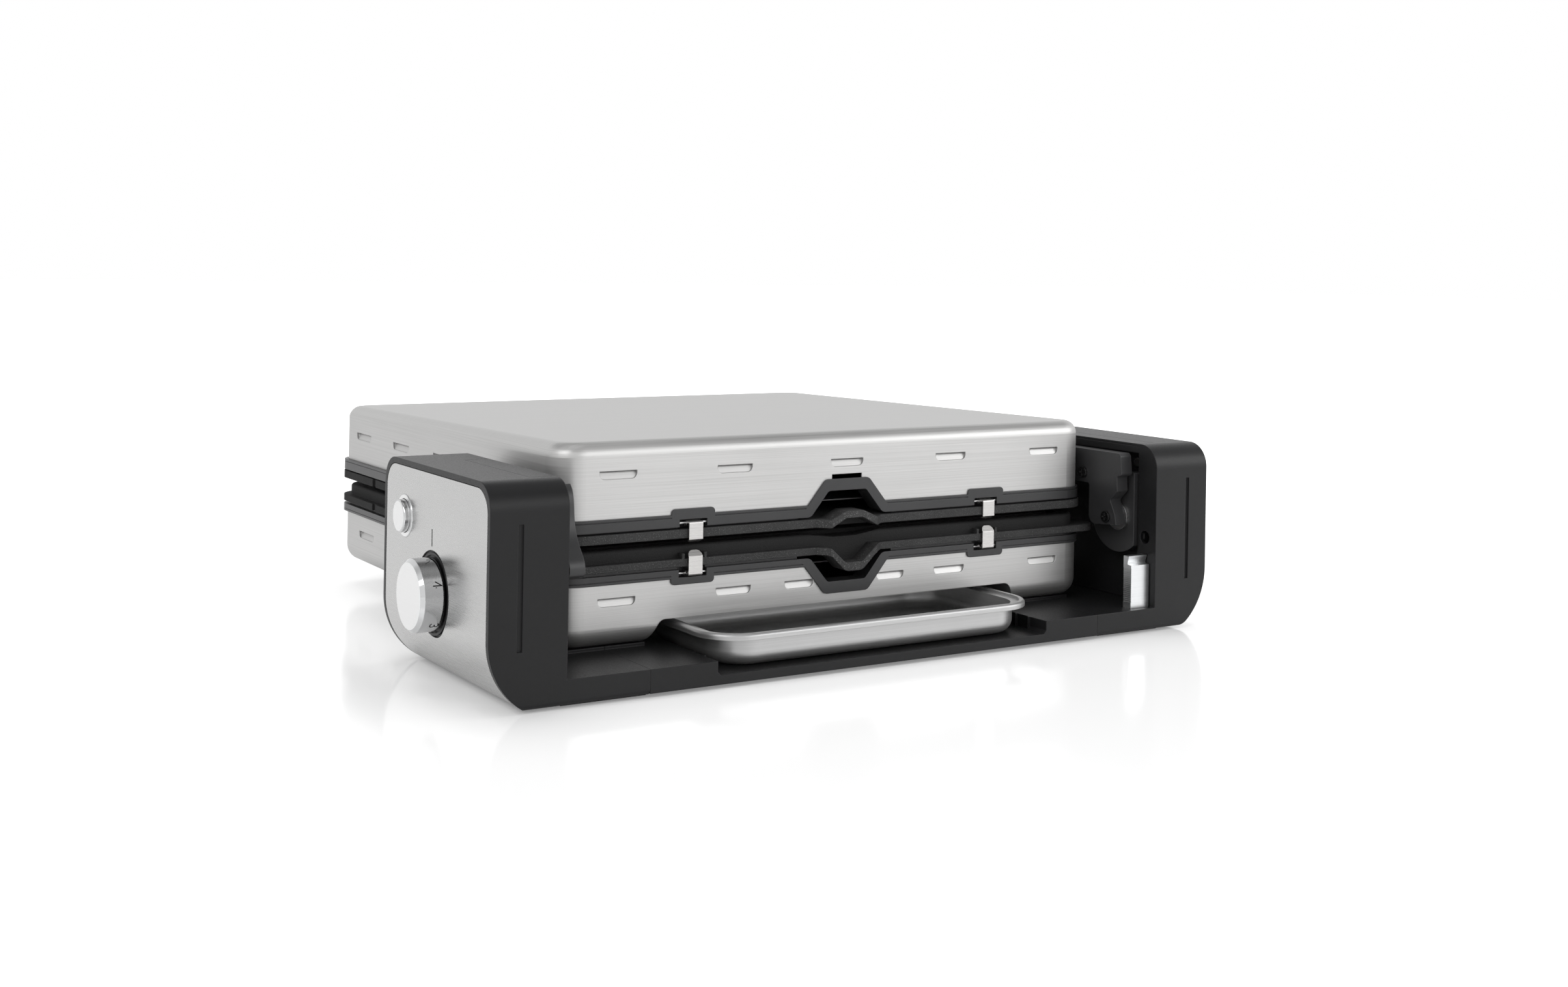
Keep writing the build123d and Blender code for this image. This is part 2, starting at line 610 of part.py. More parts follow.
# Towers: hollow housings with a foot, open to the inside behind the hinge pocket
for name, outward in SIDES:
    hollow = tower_form(outward, WALL, WALL)
    panel_seat = side_skin(outward, PANEL_SHEET + PANEL_BACK_GAP, PANEL_GAP)
    with BuildPart() as cavity:
        add(hollow)
        block((outward * LEDGE_BACK, outward * HALF_WIDTH), (0, TOWER_DEPTH), (0, TOWER_TOP),
              mode=Mode.INTERSECT)
    with BuildPart() as front_cavity:
        add(hollow)
        block((outward * TOWER_INNER, outward * (LEDGE_BACK + WALL)), (0, FRAME_DEPTH - WALL),
              (FOOT_TOP + WALL, TOWER_TOP), mode=Mode.INTERSECT)
    with BuildPart() as bosses:
        for y, z in cover_screw_places():
            rod((outward * COVER_BACK, outward * HALF_WIDTH), y, z, BOSS_RADIUS)
        add(tower_form(outward, WALL - BOSS_SINK), mode=Mode.INTERSECT)
    with BuildPart() as housing:
        add(tower_form(outward))
        add(cavity.part, mode=Mode.SUBTRACT)
        add(front_cavity.part, mode=Mode.SUBTRACT)
        block((outward * TOWER_INNER, outward * COVER_BACK), (FRAME_DEPTH, POCKET_BACK),
              (FOOT_TOP, POCKET_TOP), mode=Mode.SUBTRACT)
        block((outward * COVER_BACK, outward * LEDGE_BACK),
              (FRAME_DEPTH + LEDGE_WIDTH, POCKET_BACK - LEDGE_WIDTH),
              (FOOT_TOP + LEDGE_WIDTH, POCKET_TOP - LEDGE_WIDTH), mode=Mode.SUBTRACT)
        add(bosses.part)
        for y, z in cover_screw_places():
            rod((outward * COVER_BACK, outward * (COVER_BACK + SCREW_LENGTH)), y, z,
                SCREW_RADIUS + SCREW_FIT, mode=Mode.SUBTRACT)
        add(panel_seat, mode=Mode.SUBTRACT)
        # Foot hollow, closed from below by the bottom cover
        block((outward * (SEAM + WALL), outward * (LEVER_INNER - 2 * WALL)),
              (WALL, TOWER_DEPTH - WALL), (UNDERSIDE, FOOT_TOP - WALL), mode=Mode.SUBTRACT)
        block((outward * (SEAM + WALL / 2), outward * (TOWER_INNER + WALL)),
              (WALL / 2, TOWER_DEPTH - WALL / 2), (UNDERSIDE, UNDERSIDE + COVER_SHEET), mode=Mode.SUBTRACT)
        # Raised step that carries the lower casing
        block((outward * SEAM, outward * STEP_OUTER), (STEP_FRONT, TOWER_DEPTH), (FOOT_TOP, PAN_BOTTOM))
        # Shallow grooves, hole through the front frame and roof seat
        block((outward * (HALF_WIDTH - GROOVE_INSET - GROOVE_WIDTH / 2),
               outward * (HALF_WIDTH - GROOVE_INSET + GROOVE_WIDTH / 2)),
              (0, GROOVE_DEPTH), (GROOVE_LOW, GROOVE_HIGH), mode=Mode.SUBTRACT)
        rod((outward * TOWER_INNER, outward * (TOWER_INNER + WALL)), PEEP_BACK, PEEP_HEIGHT,
            PEEP_RADIUS, mode=Mode.SUBTRACT)
        block((outward * TOWER_INNER, outward * (TOWER_INNER + STRIP_WIDTH + STRIP_GAP)),
              (STRIP_FRONT - STRIP_GAP, STRIP_BACK + STRIP_GAP),
              (TOWER_TOP - STRIP_THICKNESS - STRIP_BED, TOWER_TOP), mode=Mode.SUBTRACT)
        for y in BEAM_SCREW_PLACES:
            rod((outward * SEAM, outward * (SEAM + WALL)), y, BEAM_SCREW_HEIGHT,
                SCREW_RADIUS + SCREW_FIT, mode=Mode.SUBTRACT)
        if name == "left":
            # Holes for the thermostat's spindle, the push button and the cord's gland
            rod((-HALF_WIDTH, -INSIDE), KNOB_BACK, KNOB_HEIGHT, SHAFT_RADIUS + SHAFT_HOLE_GAP,
                mode=Mode.SUBTRACT)
            rod((-HALF_WIDTH, -INSIDE), BUTTON_BACK, BUTTON_HEIGHT, BUTTON_RADIUS + BUTTON_FIT,
                mode=Mode.SUBTRACT)
            dowel(GLAND_INSET - HALF_WIDTH, (TOWER_DEPTH - 2 * WALL, TOWER_DEPTH + WALL), GLAND_HEIGHT,
                  GLAND_RADIUS, mode=Mode.SUBTRACT)
            # Raised ring round the knob
            floor = -HALF_WIDTH + PANEL_SHEET + PANEL_BACK_GAP
            rod((floor - KNOB_SEAT_HEIGHT, floor), KNOB_BACK, KNOB_HEIGHT, KNOB_RADIUS + KNOB_SEAT_GAPS[1])
            rod((floor - KNOB_SEAT_HEIGHT, floor), KNOB_BACK, KNOB_HEIGHT, KNOB_RADIUS + KNOB_SEAT_GAPS[0],
                mode=Mode.SUBTRACT)
        else:
            # Slot and pin hole for the stop lever
            block((LEVER_INNER - LEVER_SLOT_GAP, LEVER_OUTER + LEVER_SLOT_GAP),
                  (LEVER_SLOT_FRONT, LEVER_SLOT_BACK), (LEVER_SLOT_FLOOR, FOOT_TOP), mode=Mode.SUBTRACT)
            reach = LEVER_PIN_REACH + PIN_END_GAP
            rod((LEVER_INNER - reach, LEVER_OUTER + reach), LEVER_PIN_BACK, LEVER_PIN_HEIGHT,
                LEVER_PIN_RADIUS + PIN_FIT / 2, mode=Mode.SUBTRACT)
    save(housing.part, f"{name}_tower")

    panel = side_skin(outward, PANEL_SHEET, 0.0)
    with BuildPart() as side_panel:
        add(panel)
        if name == "left":
            rod((-HALF_WIDTH - WALL, -INSIDE), KNOB_BACK, KNOB_HEIGHT, KNOB_RING_RADIUS, mode=Mode.SUBTRACT)
            rod((-HALF_WIDTH - WALL, -INSIDE), BUTTON_BACK, BUTTON_HEIGHT, BEZEL_RADIUS, mode=Mode.SUBTRACT)
    save(side_panel.part, f"{name}_side_panel")

    with BuildPart() as inner_cover:
        block((outward * POCKET_WALL, outward * COVER_BACK), (FRAME_DEPTH + COVER_GAP, POCKET_BACK - COVER_GAP),
              (FOOT_TOP + COVER_GAP, POCKET_TOP - COVER_GAP))
        rod((outward * POCKET_WALL, outward * COVER_BACK), AXLE_BACK, AXLE_HEIGHT,
            AXLE_RADIUS + AXLE_HOLE_GAP, mode=Mode.SUBTRACT)
        for y, z in cover_screw_places():
            rod((outward * POCKET_WALL, outward * COVER_BACK), y, z, SCREW_RADIUS + SCREW_FIT,
                mode=Mode.SUBTRACT)
    save(inner_cover.part, f"{name}_inner_cover")

    with BuildPart() as top_strip:
        block((outward * TOWER_INNER, outward * (TOWER_INNER + STRIP_WIDTH)), (STRIP_FRONT, STRIP_BACK),
              (TOWER_TOP - STRIP_THICKNESS, TOWER_TOP))
    save(top_strip.part, f"{name}_top_strip")

    with BuildPart() as bottom_cover:
        block((outward * (SEAM + WALL / 2 + COVER_GAP), outward * (TOWER_INNER + WALL - COVER_GAP)),
              (WALL / 2 + COVER_GAP, TOWER_DEPTH - WALL / 2 - COVER_GAP),
              (UNDERSIDE, UNDERSIDE + COVER_SHEET))
        for y in PAD_PLACES:
            post(outward * (TOWER_INNER - PAD_INBOARD), y, (UNDERSIDE, UNDERSIDE + PAD_RECESS),
                 PAD_RADIUS + COVER_GAP, mode=Mode.SUBTRACT)
    save(bottom_cover.part, f"{name}_bottom_cover")

# Cross beam between the feet, with the bay for the drip tray
with BuildPart() as beam:
    half = SEAM - SEAM_GAP
    block((-half, half), (0, TOWER_DEPTH), (BEAM_LOW, FOOT_TOP))
    for outward in (-1, 1):
        block((outward * STEP_INNER, outward * half), (STEP_FRONT, TOWER_DEPTH), (FOOT_TOP, PAN_BOTTOM))
        block((outward * (BAY_HALF + WALL), outward * (half - 2 * WALL)), (WALL, TOWER_DEPTH - WALL),
              (BEAM_LOW, FOOT_TOP - WALL), mode=Mode.SUBTRACT)
        for y in BEAM_SCREW_PLACES:
            rod((outward * (half - 2 * WALL), outward * half), y, BEAM_SCREW_HEIGHT,
                SCREW_RADIUS + SCREW_FIT, mode=Mode.SUBTRACT)
    block((-BAY_HALF, BAY_HALF), (0, TOWER_DEPTH - BAY_BACK_WALL), (BAY_FLOOR, FOOT_TOP), mode=Mode.SUBTRACT)
    block((-BAY_HALF, BAY_HALF), (WALL, TOWER_DEPTH - WALL), (BEAM_LOW, BAY_FLOOR - WALL),
          mode=Mode.SUBTRACT)
    for outward in (-1, 1):
        for y in RIB_PLACES:
            block((outward * (BAY_HALF - RIB_DEPTH), outward * BAY_HALF),
                  (y - RIB_WIDTH / 2, y + RIB_WIDTH / 2), (BAY_FLOOR, FOOT_TOP))
        corner = outward * BAY_HALF
        prism_y([(corner, BAY_FLOOR), (corner - outward * BAY_CORNER, BAY_FLOOR),
                 (corner, BAY_FLOOR + BAY_CORNER)], (0, RIB_PLACES[0]))
save(beam.part, "cross_beam")

# Rubber pads, rear legs and small screws of the base
with BuildPart() as base_pads:
    for name, outward in SIDES:
        for y in PAD_PLACES:
            post(outward * (TOWER_INNER - PAD_INBOARD), y, (0, UNDERSIDE + PAD_RECESS), PAD_RADIUS)
save(base_pads.part, "base_pads")

with BuildPart() as rear_legs:
    for x in (-LEG_PLACE, LEG_PLACE):
        with BuildSketch(level(PAN_BOTTOM)):
            with Locations((x, LEG_BACK)):
                Circle(LEG_RADIUS)
        extrude(amount=-(PAN_BOTTOM - LEG_PAD_HEIGHT), taper=LEG_TAPER)
save(rear_legs.part, "rear_legs")

with BuildPart() as rear_pads:
    for x in (-LEG_PLACE, LEG_PLACE):
        post(x, LEG_BACK, (0, LEG_PAD_HEIGHT), LEG_RADIUS - LEG_PAD_INSET)
save(rear_pads.part, "rear_pads")

with BuildPart() as cover_screws:
    for name, outward in SIDES:
        for y, z in cover_screw_places():
            rod((outward * (POCKET_WALL - SCREW_HEAD), outward * POCKET_WALL), y, z, SCREW_HEAD_RADIUS)
            rod((outward * POCKET_WALL, outward * (COVER_BACK + SCREW_LENGTH - SCREW_TIP_GAP)), y, z,
                SCREW_RADIUS)
save(cover_screws.part, "cover_screws")

with BuildPart() as beam_screws:
    for name, outward in SIDES:
        head = SEAM + WALL
        for y in BEAM_SCREW_PLACES:
            rod((outward * head, outward * (head + SCREW_HEAD)), y, BEAM_SCREW_HEIGHT, SCREW_HEAD_RADIUS)
            rod((outward * (SEAM - BEAM_SCREW_REACH), outward * head), y, BEAM_SCREW_HEIGHT, SCREW_RADIUS)
save(beam_screws.part, "beam_screws")


# Casings
def lid_form(inset=0.0):
    """Outside of the upper casing, or its hollow when inset by the sheet."""
    top_front = LID_TOP_FRONT - inset
    top_back = LID_TOP_BACK - inset
    with BuildPart() as form:
        slab((UPPER_EDGE, top_front), SHELL_HALF - inset, SHELL_FRONT + inset, SHELL_BACK - inset,
             SHELL_CORNER - inset)
        prism_x([(SHELL_FRONT - 1, top_front), (SHELL_BACK + 1, top_front), (SHELL_BACK + 1, top_back)],
                (-SHELL_HALF - 1, SHELL_HALF + 1), mode=Mode.SUBTRACT)
        fillet(form.faces().sort_by(Axis.Z)[-1].edges(), LID_EDGE_RADIUS - inset)
    return form.part


def pan_form(inset=0.0):
    """Outside of the lower casing with its tunnel for the tray, or its hollow when inset."""
    low = PAN_BOTTOM + inset
    foot_half = TUNNEL_HALF + TUNNEL_SPREAD + inset
    margin_half = foot_half + TUNNEL_MARGIN[0]
    under = low - TUNNEL_MARGIN[1]
    ceiling = TUNNEL_CEILING + inset
    with BuildPart() as form:
        slab((low, LOWER_EDGE), SHELL_HALF - inset, SHELL_FRONT + inset, SHELL_BACK - inset,
             SHELL_CORNER - inset)
        fillet(form.faces().sort_by(Axis.Z)[0].edges(), PAN_EDGE_RADIUS - inset)
        prism_y([(-margin_half, under), (-margin_half, low), (-foot_half, low), (-TUNNEL_HALF - inset, ceiling),
                 (TUNNEL_HALF + inset, ceiling), (foot_half, low), (margin_half, low), (margin_half, under)],
                (SHELL_FRONT - 1, TUNNEL_BACK + inset), (0.0, *[TUNNEL_RADIUS] * 4, 0.0), mode=Mode.SUBTRACT)
    return form.part


def louvre(chord, grow=0.0):
    """A pressing at the origin that slants in from its lower edge to z = 0, with the wall's face at y = 0."""
    low = -LOUVRE_HEIGHT - grow
    outside = SHEET / 2 if grow else -SHEET
    with BuildPart() as pressing:
        with BuildSketch(Plane(origin=(0, outside, 0), x_dir=(1, 0, 0), z_dir=(0, -1, 0))) as outline:
            with Locations((0, low / 2)):
                Rectangle(chord + 2 * grow, -low)
            fillet(outline.vertices().group_by(Axis.Y)[0], LOUVRE_CORNER + grow)
        extrude(outline.sketch, amount=LOUVRE_DEPTH + grow - outside, dir=(0, 1, 0))
        with BuildSketch(Plane.YZ) as slant:
            with BuildLine():
                Polyline((outside, 0), (LOUVRE_DEPTH + grow, 0), (LOUVRE_LIP + grow, low), (outside, low),
                         close=True)
            make_face()
        extrude(slant.sketch, amount=chord, both=True, mode=Mode.INTERSECT)
    return pressing.part


def louvre_places(outer_places, short_places, side_places, front_top, side_top):
    """Chord and location of every louvre of one casing."""
    places = [(LOUVRE_LONG, Location(spot(x, SHELL_FRONT, front_top))) for x in outer_places]
    places += [(LOUVRE_SHORT, Location(spot(x, SHELL_FRONT, front_top))) for x in short_places]
    for y in side_places:
        places.append((LOUVRE_SIDE, Location(spot(-SHELL_HALF, y, side_top), (0, 0, -90))))
        places.append((LOUVRE_SIDE, Location(spot(SHELL_HALF, y, side_top), (0, 0, 90))))
    return places


def trapezoid(base, rise, half, grow=0.0):
    """Spout opening in front view: wide at the rim's edge, narrower away from it."""
    far = base + rise + (grow if rise > 0 else -grow)
    far_half = half - SPOUT_SLOPE * abs(rise) + grow / 2
    return [(-half - grow, base), (-far_half, far), (far_half, far), (half + grow, base)]


def mouth(base, rise, half, grow=0.0):
    """The same outline carried past the rim's edge, to cut with."""
    points = trapezoid(base, rise, half, grow)
    past = base - MOUTH_PAST * (1 if rise > 0 else -1)
    wide = half + grow + MOUTH_FLARE
    return [(-wide, past), (-wide, base), *points, (wide, base), (wide, past)]


def bolt_places():
    """Back and height of the bolts that hold each arm to the upper casing."""
    height = (ARM_PAD_LOW + ARM_PAD_HIGH) / 2
    return [(ARM_PAD_FRONT + ARM_BOLT_ENDS[0], height), (ARM_BACK - ARM_BOLT_ENDS[1], height)]


outer_louvre = SHELL_HALF - LOUVRE_END
long_louvres = [hand * place for place in (outer_louvre, outer_louvre - LOUVRE_PITCH) for hand in (-1, 1)]
side_louvres = [SHELL_BACK - SIDE_LOUVRE_END - step * SIDE_LOUVRE_PITCH for step in range(SIDE_LOUVRE_COUNT)]
upper_louvres = louvre_places([0.0] + long_louvres, (), side_louvres, LID_TOP_FRONT - UPPER_LOUVRE_DROP,
                              LID_TOP_FRONT - UPPER_SIDE_LOUVRE_DROP)
lower_louvres = louvre_places(long_louvres, (-SHORT_LOUVRE_PLACE, SHORT_LOUVRE_PLACE),
                              [y - LOWER_SIDE_SHIFT for y in side_louvres], LOWER_EDGE - LOWER_LOUVRE_DROP,
                              LOWER_EDGE - LOWER_SIDE_LOUVRE_DROP)
chords = (LOUVRE_LONG, LOUVRE_SHORT, LOUVRE_SIDE)
bulges = {chord: louvre(chord, LOUVRE_WALL) for chord in chords}
recesses = {chord: louvre(chord) for chord in chords}


def finish_shell(outside, inside, places, base, rise):
    """Hollows a casing in the open part, and gives it its louvres and the notch for the spout."""
    wall = (SHELL_FRONT - 1, SHELL_FRONT + SHEET + 1)
    add(outside)
    add(inside, mode=Mode.SUBTRACT)
    for chord, place in places:
        with Locations(place):
            add(bulges[chord])
            add(recesses[chord], mode=Mode.SUBTRACT)
    prism_y(mouth(base, rise, OPENING_HALF, SURROUND_WALL + NOTCH_GAP), wall, mode=Mode.SUBTRACT)


lid_outside = lid_form()
lid_inside = lid_form(SHEET)
with BuildPart() as upper_shell:
    finish_shell(lid_outside, lid_inside, upper_louvres, UPPER_RIM_EDGE, OPENING_RISE)
    slot_low = UPPER_RIM_EDGE + SURROUND_RISE - SLOT_RISE
    block((-SLOT_HALF, SLOT_HALF), (SHELL_FRONT - SHEET, SHELL_FRONT + 2 * SHEET),
          (slot_low, slot_low + 2 * SLOT_RISE), mode=Mode.SUBTRACT)
    for outward in (-1, 1):
        for y, z in bolt_places():
            rod((outward * (SHELL_HALF - 2 * SHEET), outward * (SHELL_HALF + SHEET)), y, z,
                BOLT_RADIUS + SCREW_FIT, mode=Mode.SUBTRACT)
    for x in (-HANDLE_HALF, HANDLE_HALF):
        dowel(x, (SHELL_BACK - 2 * SHEET, SHELL_BACK + SHEET), HANDLE_HEIGHT, BOLT_RADIUS + SCREW_FIT,
              mode=Mode.SUBTRACT)
save(upper_shell.part, "upper_shell")

pan_outside = pan_form()
pan_inside = pan_form(SHEET)
with BuildPart() as lower_shell:
    finish_shell(pan_outside, pan_inside, lower_louvres, LOWER_RIM_EDGE, -OPENING_RISE)
save(lower_shell.part, "lower_shell")


def add_rim(edge, band_edge, seat, pin_height):
    """One plastic rim in the open part: band, seat, lip in the casing, spout surround and clip pockets."""
    away = 1 if edge > band_edge else -1
    lip_end = edge + away * LIP_HEIGHT
    skin = (RIM_FRONT, SHELL_FRONT - FRAME_SKIN)
    groove = edge - away * BAND_GROOVE_PLACE
    groove_span = (groove, groove - away * BAND_GROOVE_HEIGHT)
    slab((band_edge, edge), RIM_HALF, RIM_FRONT, RIM_BACK, RIM_CORNER)
    slab(groove_span, RIM_HALF, RIM_FRONT, RIM_BACK, RIM_CORNER, mode=Mode.SUBTRACT)
    slab(groove_span, RIM_HALF - BAND_GROOVE_DEPTH, RIM_FRONT + BAND_GROOVE_DEPTH, RIM_BACK - BAND_GROOVE_DEPTH,
         RIM_CORNER - BAND_GROOVE_DEPTH)
    slab((seat, lip_end), LIP_HALF, LIP_FRONT, LIP_BACK, LIP_CORNER)
    slab((edge, lip_end), LIP_HALF - LIP_THICKNESS, LIP_FRONT + LIP_THICKNESS, LIP_BACK - LIP_THICKNESS,
         LIP_CORNER - LIP_THICKNESS, mode=Mode.SUBTRACT)
    slab((seat, edge), LEDGE_HALF, LEDGE_FRONT, LEDGE_BACK_EDGE, LIP_CORNER / 2, mode=Mode.SUBTRACT)
    prism_y(trapezoid(band_edge, away * SURROUND_RISE, SURROUND_HALF), skin, (SURROUND_BEND, SURROUND_BEND))
    prism_y(trapezoid(band_edge, away * OPENING_RISE, OPENING_HALF, SURROUND_WALL), (RIM_FRONT, LEDGE_FRONT),
            (OPENING_BEND + SURROUND_WALL, OPENING_BEND + SURROUND_WALL))
    brow = edge + away * CLIP_BROW_HEIGHT
    for x in (-CLIP_PLACE, CLIP_PLACE):
        prism_y([(x - CLIP_BROW_HALF, band_edge), (x - CLIP_BROW_HALF, brow), (x + CLIP_BROW_HALF, brow),
                 (x + CLIP_BROW_HALF, band_edge)], skin, (CLIP_BROW_CORNER, CLIP_BROW_CORNER))
    prism_y(mouth(band_edge, away * OPENING_RISE, OPENING_HALF), (RIM_FRONT - 1, LEDGE_FRONT + 1),
            (0.0, MOUTH_BEND, OPENING_BEND, OPENING_BEND, MOUTH_BEND, 0.0), mode=Mode.SUBTRACT)
    for x in (-CLIP_PLACE, CLIP_PLACE):
        block((x - CLIP_POCKET_HALF, x + CLIP_POCKET_HALF), (RIM_FRONT - 1, CLIP_PIN_BACK + CLIP_POCKET_BACK),
              (band_edge - 2 * away, band_edge + away * CLIP_POCKET_HEIGHT), mode=Mode.SUBTRACT)
        rod((x - CLIP_PIN_HALF, x + CLIP_PIN_HALF), CLIP_PIN_BACK, pin_height, CLIP_PIN_RADIUS + PIN_FIT / 3,
            mode=Mode.SUBTRACT)


with BuildPart() as upper_rim:
    add_rim(UPPER_EDGE, UPPER_RIM_EDGE, UPPER_PLATE_HIGH + SEAT_GAP, UPPER_CLIP_PIN)
save(upper_rim.part, "upper_rim")

with BuildPart() as lower_rim:
    add_rim(LOWER_EDGE, LOWER_RIM_EDGE, LOWER_PLATE_LOW - SEAT_GAP, LOWER_CLIP_PIN)
save(lower_rim.part, "lower_rim")


def arch(base, rise):
    """The spout's edge in front view, level up to the ends of its taper."""
    end = SPOUT_HALF + SPOUT_TAPER
    return [(-end, base), (-SPOUT_HALF, base), (-SPOUT_FLAT, base + rise), (SPOUT_FLAT, base + rise),
            (SPOUT_HALF, base), (end, base)]


def spout(base, rise, far, bend):
    """A solid spout from its edge in front view to a height far, tapered into the flange in plan."""
    end = SPOUT_HALF + SPOUT_TAPER
    back = SPOUT_FRONT + SPOUT_DEPTH
    with BuildPart() as nose:
        prism_y([(-end, far), *arch(base, rise), (end, far)], (SPOUT_FRONT, back),
                (0.0, bend, bend, bend, bend, 0.0))
        with BuildSketch(level(min(base + rise, far))) as plan:
            with BuildLine():
                Polyline((-end, back), (-end, FLANGE_FRONT), (-SPOUT_HALF, SPOUT_FRONT),
                         (SPOUT_HALF, SPOUT_FRONT), (end, FLANGE_FRONT), (end, back), close=True)
            make_face()
        extrude(plan.sketch, amount=max(base + rise, far) - min(base + rise, far), mode=Mode.INTERSECT)
    return nose.part


def cut_spout(base, rise, far, back, bend):
    """Hollows a spout in the open part, on the side of its edge that faces the food."""
    end = SPOUT_HALF + SPOUT_TAPER
    prism_y([(-end, far), *arch(base, rise), (end, far)], (SPOUT_FRONT - 1, back),
            (0.0, bend, bend, bend, bend, 0.0), mode=Mode.SUBTRACT)


def cut_flange_notches(low, high):
    """Cuts the small notch in each end of a plate's flange in the open part."""
    back = FLANGE_BACK - NOTCH_PLACE
    for outward in (-1, 1):
        block((outward * (RIM_HALF - NOTCH_DEPTH), outward * (RIM_HALF + 1)), (back - NOTCH_LENGTH, back),
              (low, high), mode=Mode.SUBTRACT)


# Grill plates with their drain spouts
upper_spout = spout(UPPER_PLATE_HIGH, UPPER_SPOUT_RISE[0], UPPER_PLATE_LOW, SPOUT_BEND)
with BuildPart() as upper_plate:
    low = UPPER_PLATE_LOW
    high = UPPER_PLATE_HIGH
    slab((low, high), RIM_HALF, FLANGE_FRONT, FLANGE_BACK, FLANGE_CORNER)
    add(upper_spout)
    cut_spout(low, UPPER_SPOUT_RISE[1], low - 1, SPOUT_FRONT + SPOUT_DEPTH - 1, SPOUT_BEND)
    cut_flange_notches(low, high)
save(upper_plate.part, "upper_plate")

lower_spout = spout(LOWER_PLATE_LOW, -LOWER_SPOUT_DROP[1], LOWER_FLANGE_TOP, 2 * SPOUT_BEND)
with BuildPart() as lower_plate:
    low = LOWER_PLATE_LOW
    high = LOWER_FLANGE_TOP
    top = LOWER_PLATE_TOP
    pad_front = FLANGE_FRONT + PAD_INSET
    slab((low, high), RIM_HALF, FLANGE_FRONT, FLANGE_BACK, FLANGE_CORNER)
    slab((high - 1, top), RIM_HALF - PAD_INSET, pad_front, FLANGE_BACK - PAD_INSET, FLANGE_CORNER - PAD_INSET)
    fillet(lower_plate.faces().sort_by(Axis.Z)[-1].edges(), PAD_EDGE_RADIUS)
    for outward in (-1, 1):
        # Ear of the flange past the rim, and the raised lips beside the clip
        with BuildSketch(level(low)) as ear:
            with BuildLine():
                FilletPolyline((outward * (RIM_HALF - FLANGE_CORNER), FLANGE_FRONT),
                               (outward * (RIM_HALF + EAR_REACH), FLANGE_FRONT),
                               (outward * (RIM_HALF + EAR_REACH), FLANGE_FRONT + EAR_LENGTH - EAR_REACH),
                               (outward * (RIM_HALF - 1), FLANGE_FRONT + EAR_LENGTH),
                               radius=(EAR_CORNER, EAR_CORNER), close=False)
                Line((outward * (RIM_HALF - 1), FLANGE_FRONT + EAR_LENGTH),
                     (outward * (RIM_HALF - FLANGE_CORNER), FLANGE_FRONT))
            make_face()
        extrude(ear.sketch, amount=high - low)
        for hand in (-1, 1):
            inner = outward * CLIP_PLACE + hand * (CLIP_WIDTH / 2 + PLATE_NOTCH_GAP)
            block((inner, inner + hand * PLATE_NOTCH_WALL), (FLANGE_FRONT, pad_front + PAD_EDGE_RADIUS),
                  (high - 1, high + PLATE_NOTCH_RISE))
    add(lower_spout)
    cut_spout(high, -LOWER_SPOUT_DROP[0], high + 1, pad_front, SPOUT_BEND)
    slab((low, top - POCKET_CEILING), RIM_HALF - POCKET_INSET, FLANGE_FRONT + POCKET_INSET,
         FLANGE_BACK - POCKET_INSET, FLANGE_CORNER - POCKET_INSET, mode=Mode.SUBTRACT)
    gutter = GUTTER_INSET + GUTTER_WIDTH
    with BuildSketch(level(top)) as groove:
        with Locations((0, (FLANGE_FRONT + FLANGE_BACK) / 2)):
            RectangleRounded(2 * (RIM_HALF - GUTTER_INSET), FLANGE_BACK - FLANGE_FRONT - 2 * GUTTER_INSET,
                             FLANGE_CORNER - PAD_INSET)
            RectangleRounded(2 * (RIM_HALF - gutter), FLANGE_BACK - FLANGE_FRONT - 2 * gutter,
                             FLANGE_CORNER - POCKET_INSET, mode=Mode.SUBTRACT)
    extrude(groove.sketch, amount=-GUTTER_DEPTH, mode=Mode.SUBTRACT)
    valley = top - VALLEY_DEPTH
    prism_y([(-VALLEY_HALF, top + 1), (-VALLEY_HALF, top), (-CHANNEL_HALF, valley), (CHANNEL_HALF, valley),
             (VALLEY_HALF, top), (VALLEY_HALF, top + 1)], (pad_front - 1, FLANGE_FRONT + gutter),
            mode=Mode.SUBTRACT)
    cut_flange_notches(low, high)
save(lower_plate.part, "lower_plate")

# Reflectors: thin sheets on the rims' ledges, notched round the spout surround
for name, base, away in (("upper", UPPER_EDGE, 1), ("lower", LOWER_EDGE, -1)):
    grow = LIP_THICKNESS + REFLECTOR_GAP
    with BuildPart() as reflector:
        slab((base, base + away * REFLECTOR_SHEET), LIP_HALF - grow, LIP_FRONT + grow, LIP_BACK - grow,
             LIP_CORNER - grow)
        block((-OPENING_HALF - REFLECTOR_NOTCH[0], OPENING_HALF + REFLECTOR_NOTCH[0]),
              (LIP_FRONT, LEDGE_FRONT + REFLECTOR_NOTCH[1]), (base - 1, base + 1), mode=Mode.SUBTRACT)
    save(reflector.part, f"{name}_reflector")

# Heating elements: one bent tube in each half
for name, height in (("upper", UPPER_HEATER_HEIGHT), ("lower", LOWER_HEATER_HEIGHT)):
    with BuildPart() as heater:
        with BuildLine(level(height)) as route:
            FilletPolyline((-HEATER_HALF, HEATER_FRONT), (-HEATER_HALF, HEATER_BACK),
                           (HEATER_HALF, HEATER_BACK), (HEATER_HALF, HEATER_FRONT), radius=HEATER_BEND)
        with BuildSketch(Plane(origin=route.line @ 0, z_dir=route.line % 0)):
            Circle(TUBE_RADIUS)
        sweep()
    save(heater.part, f"{name}_heater")

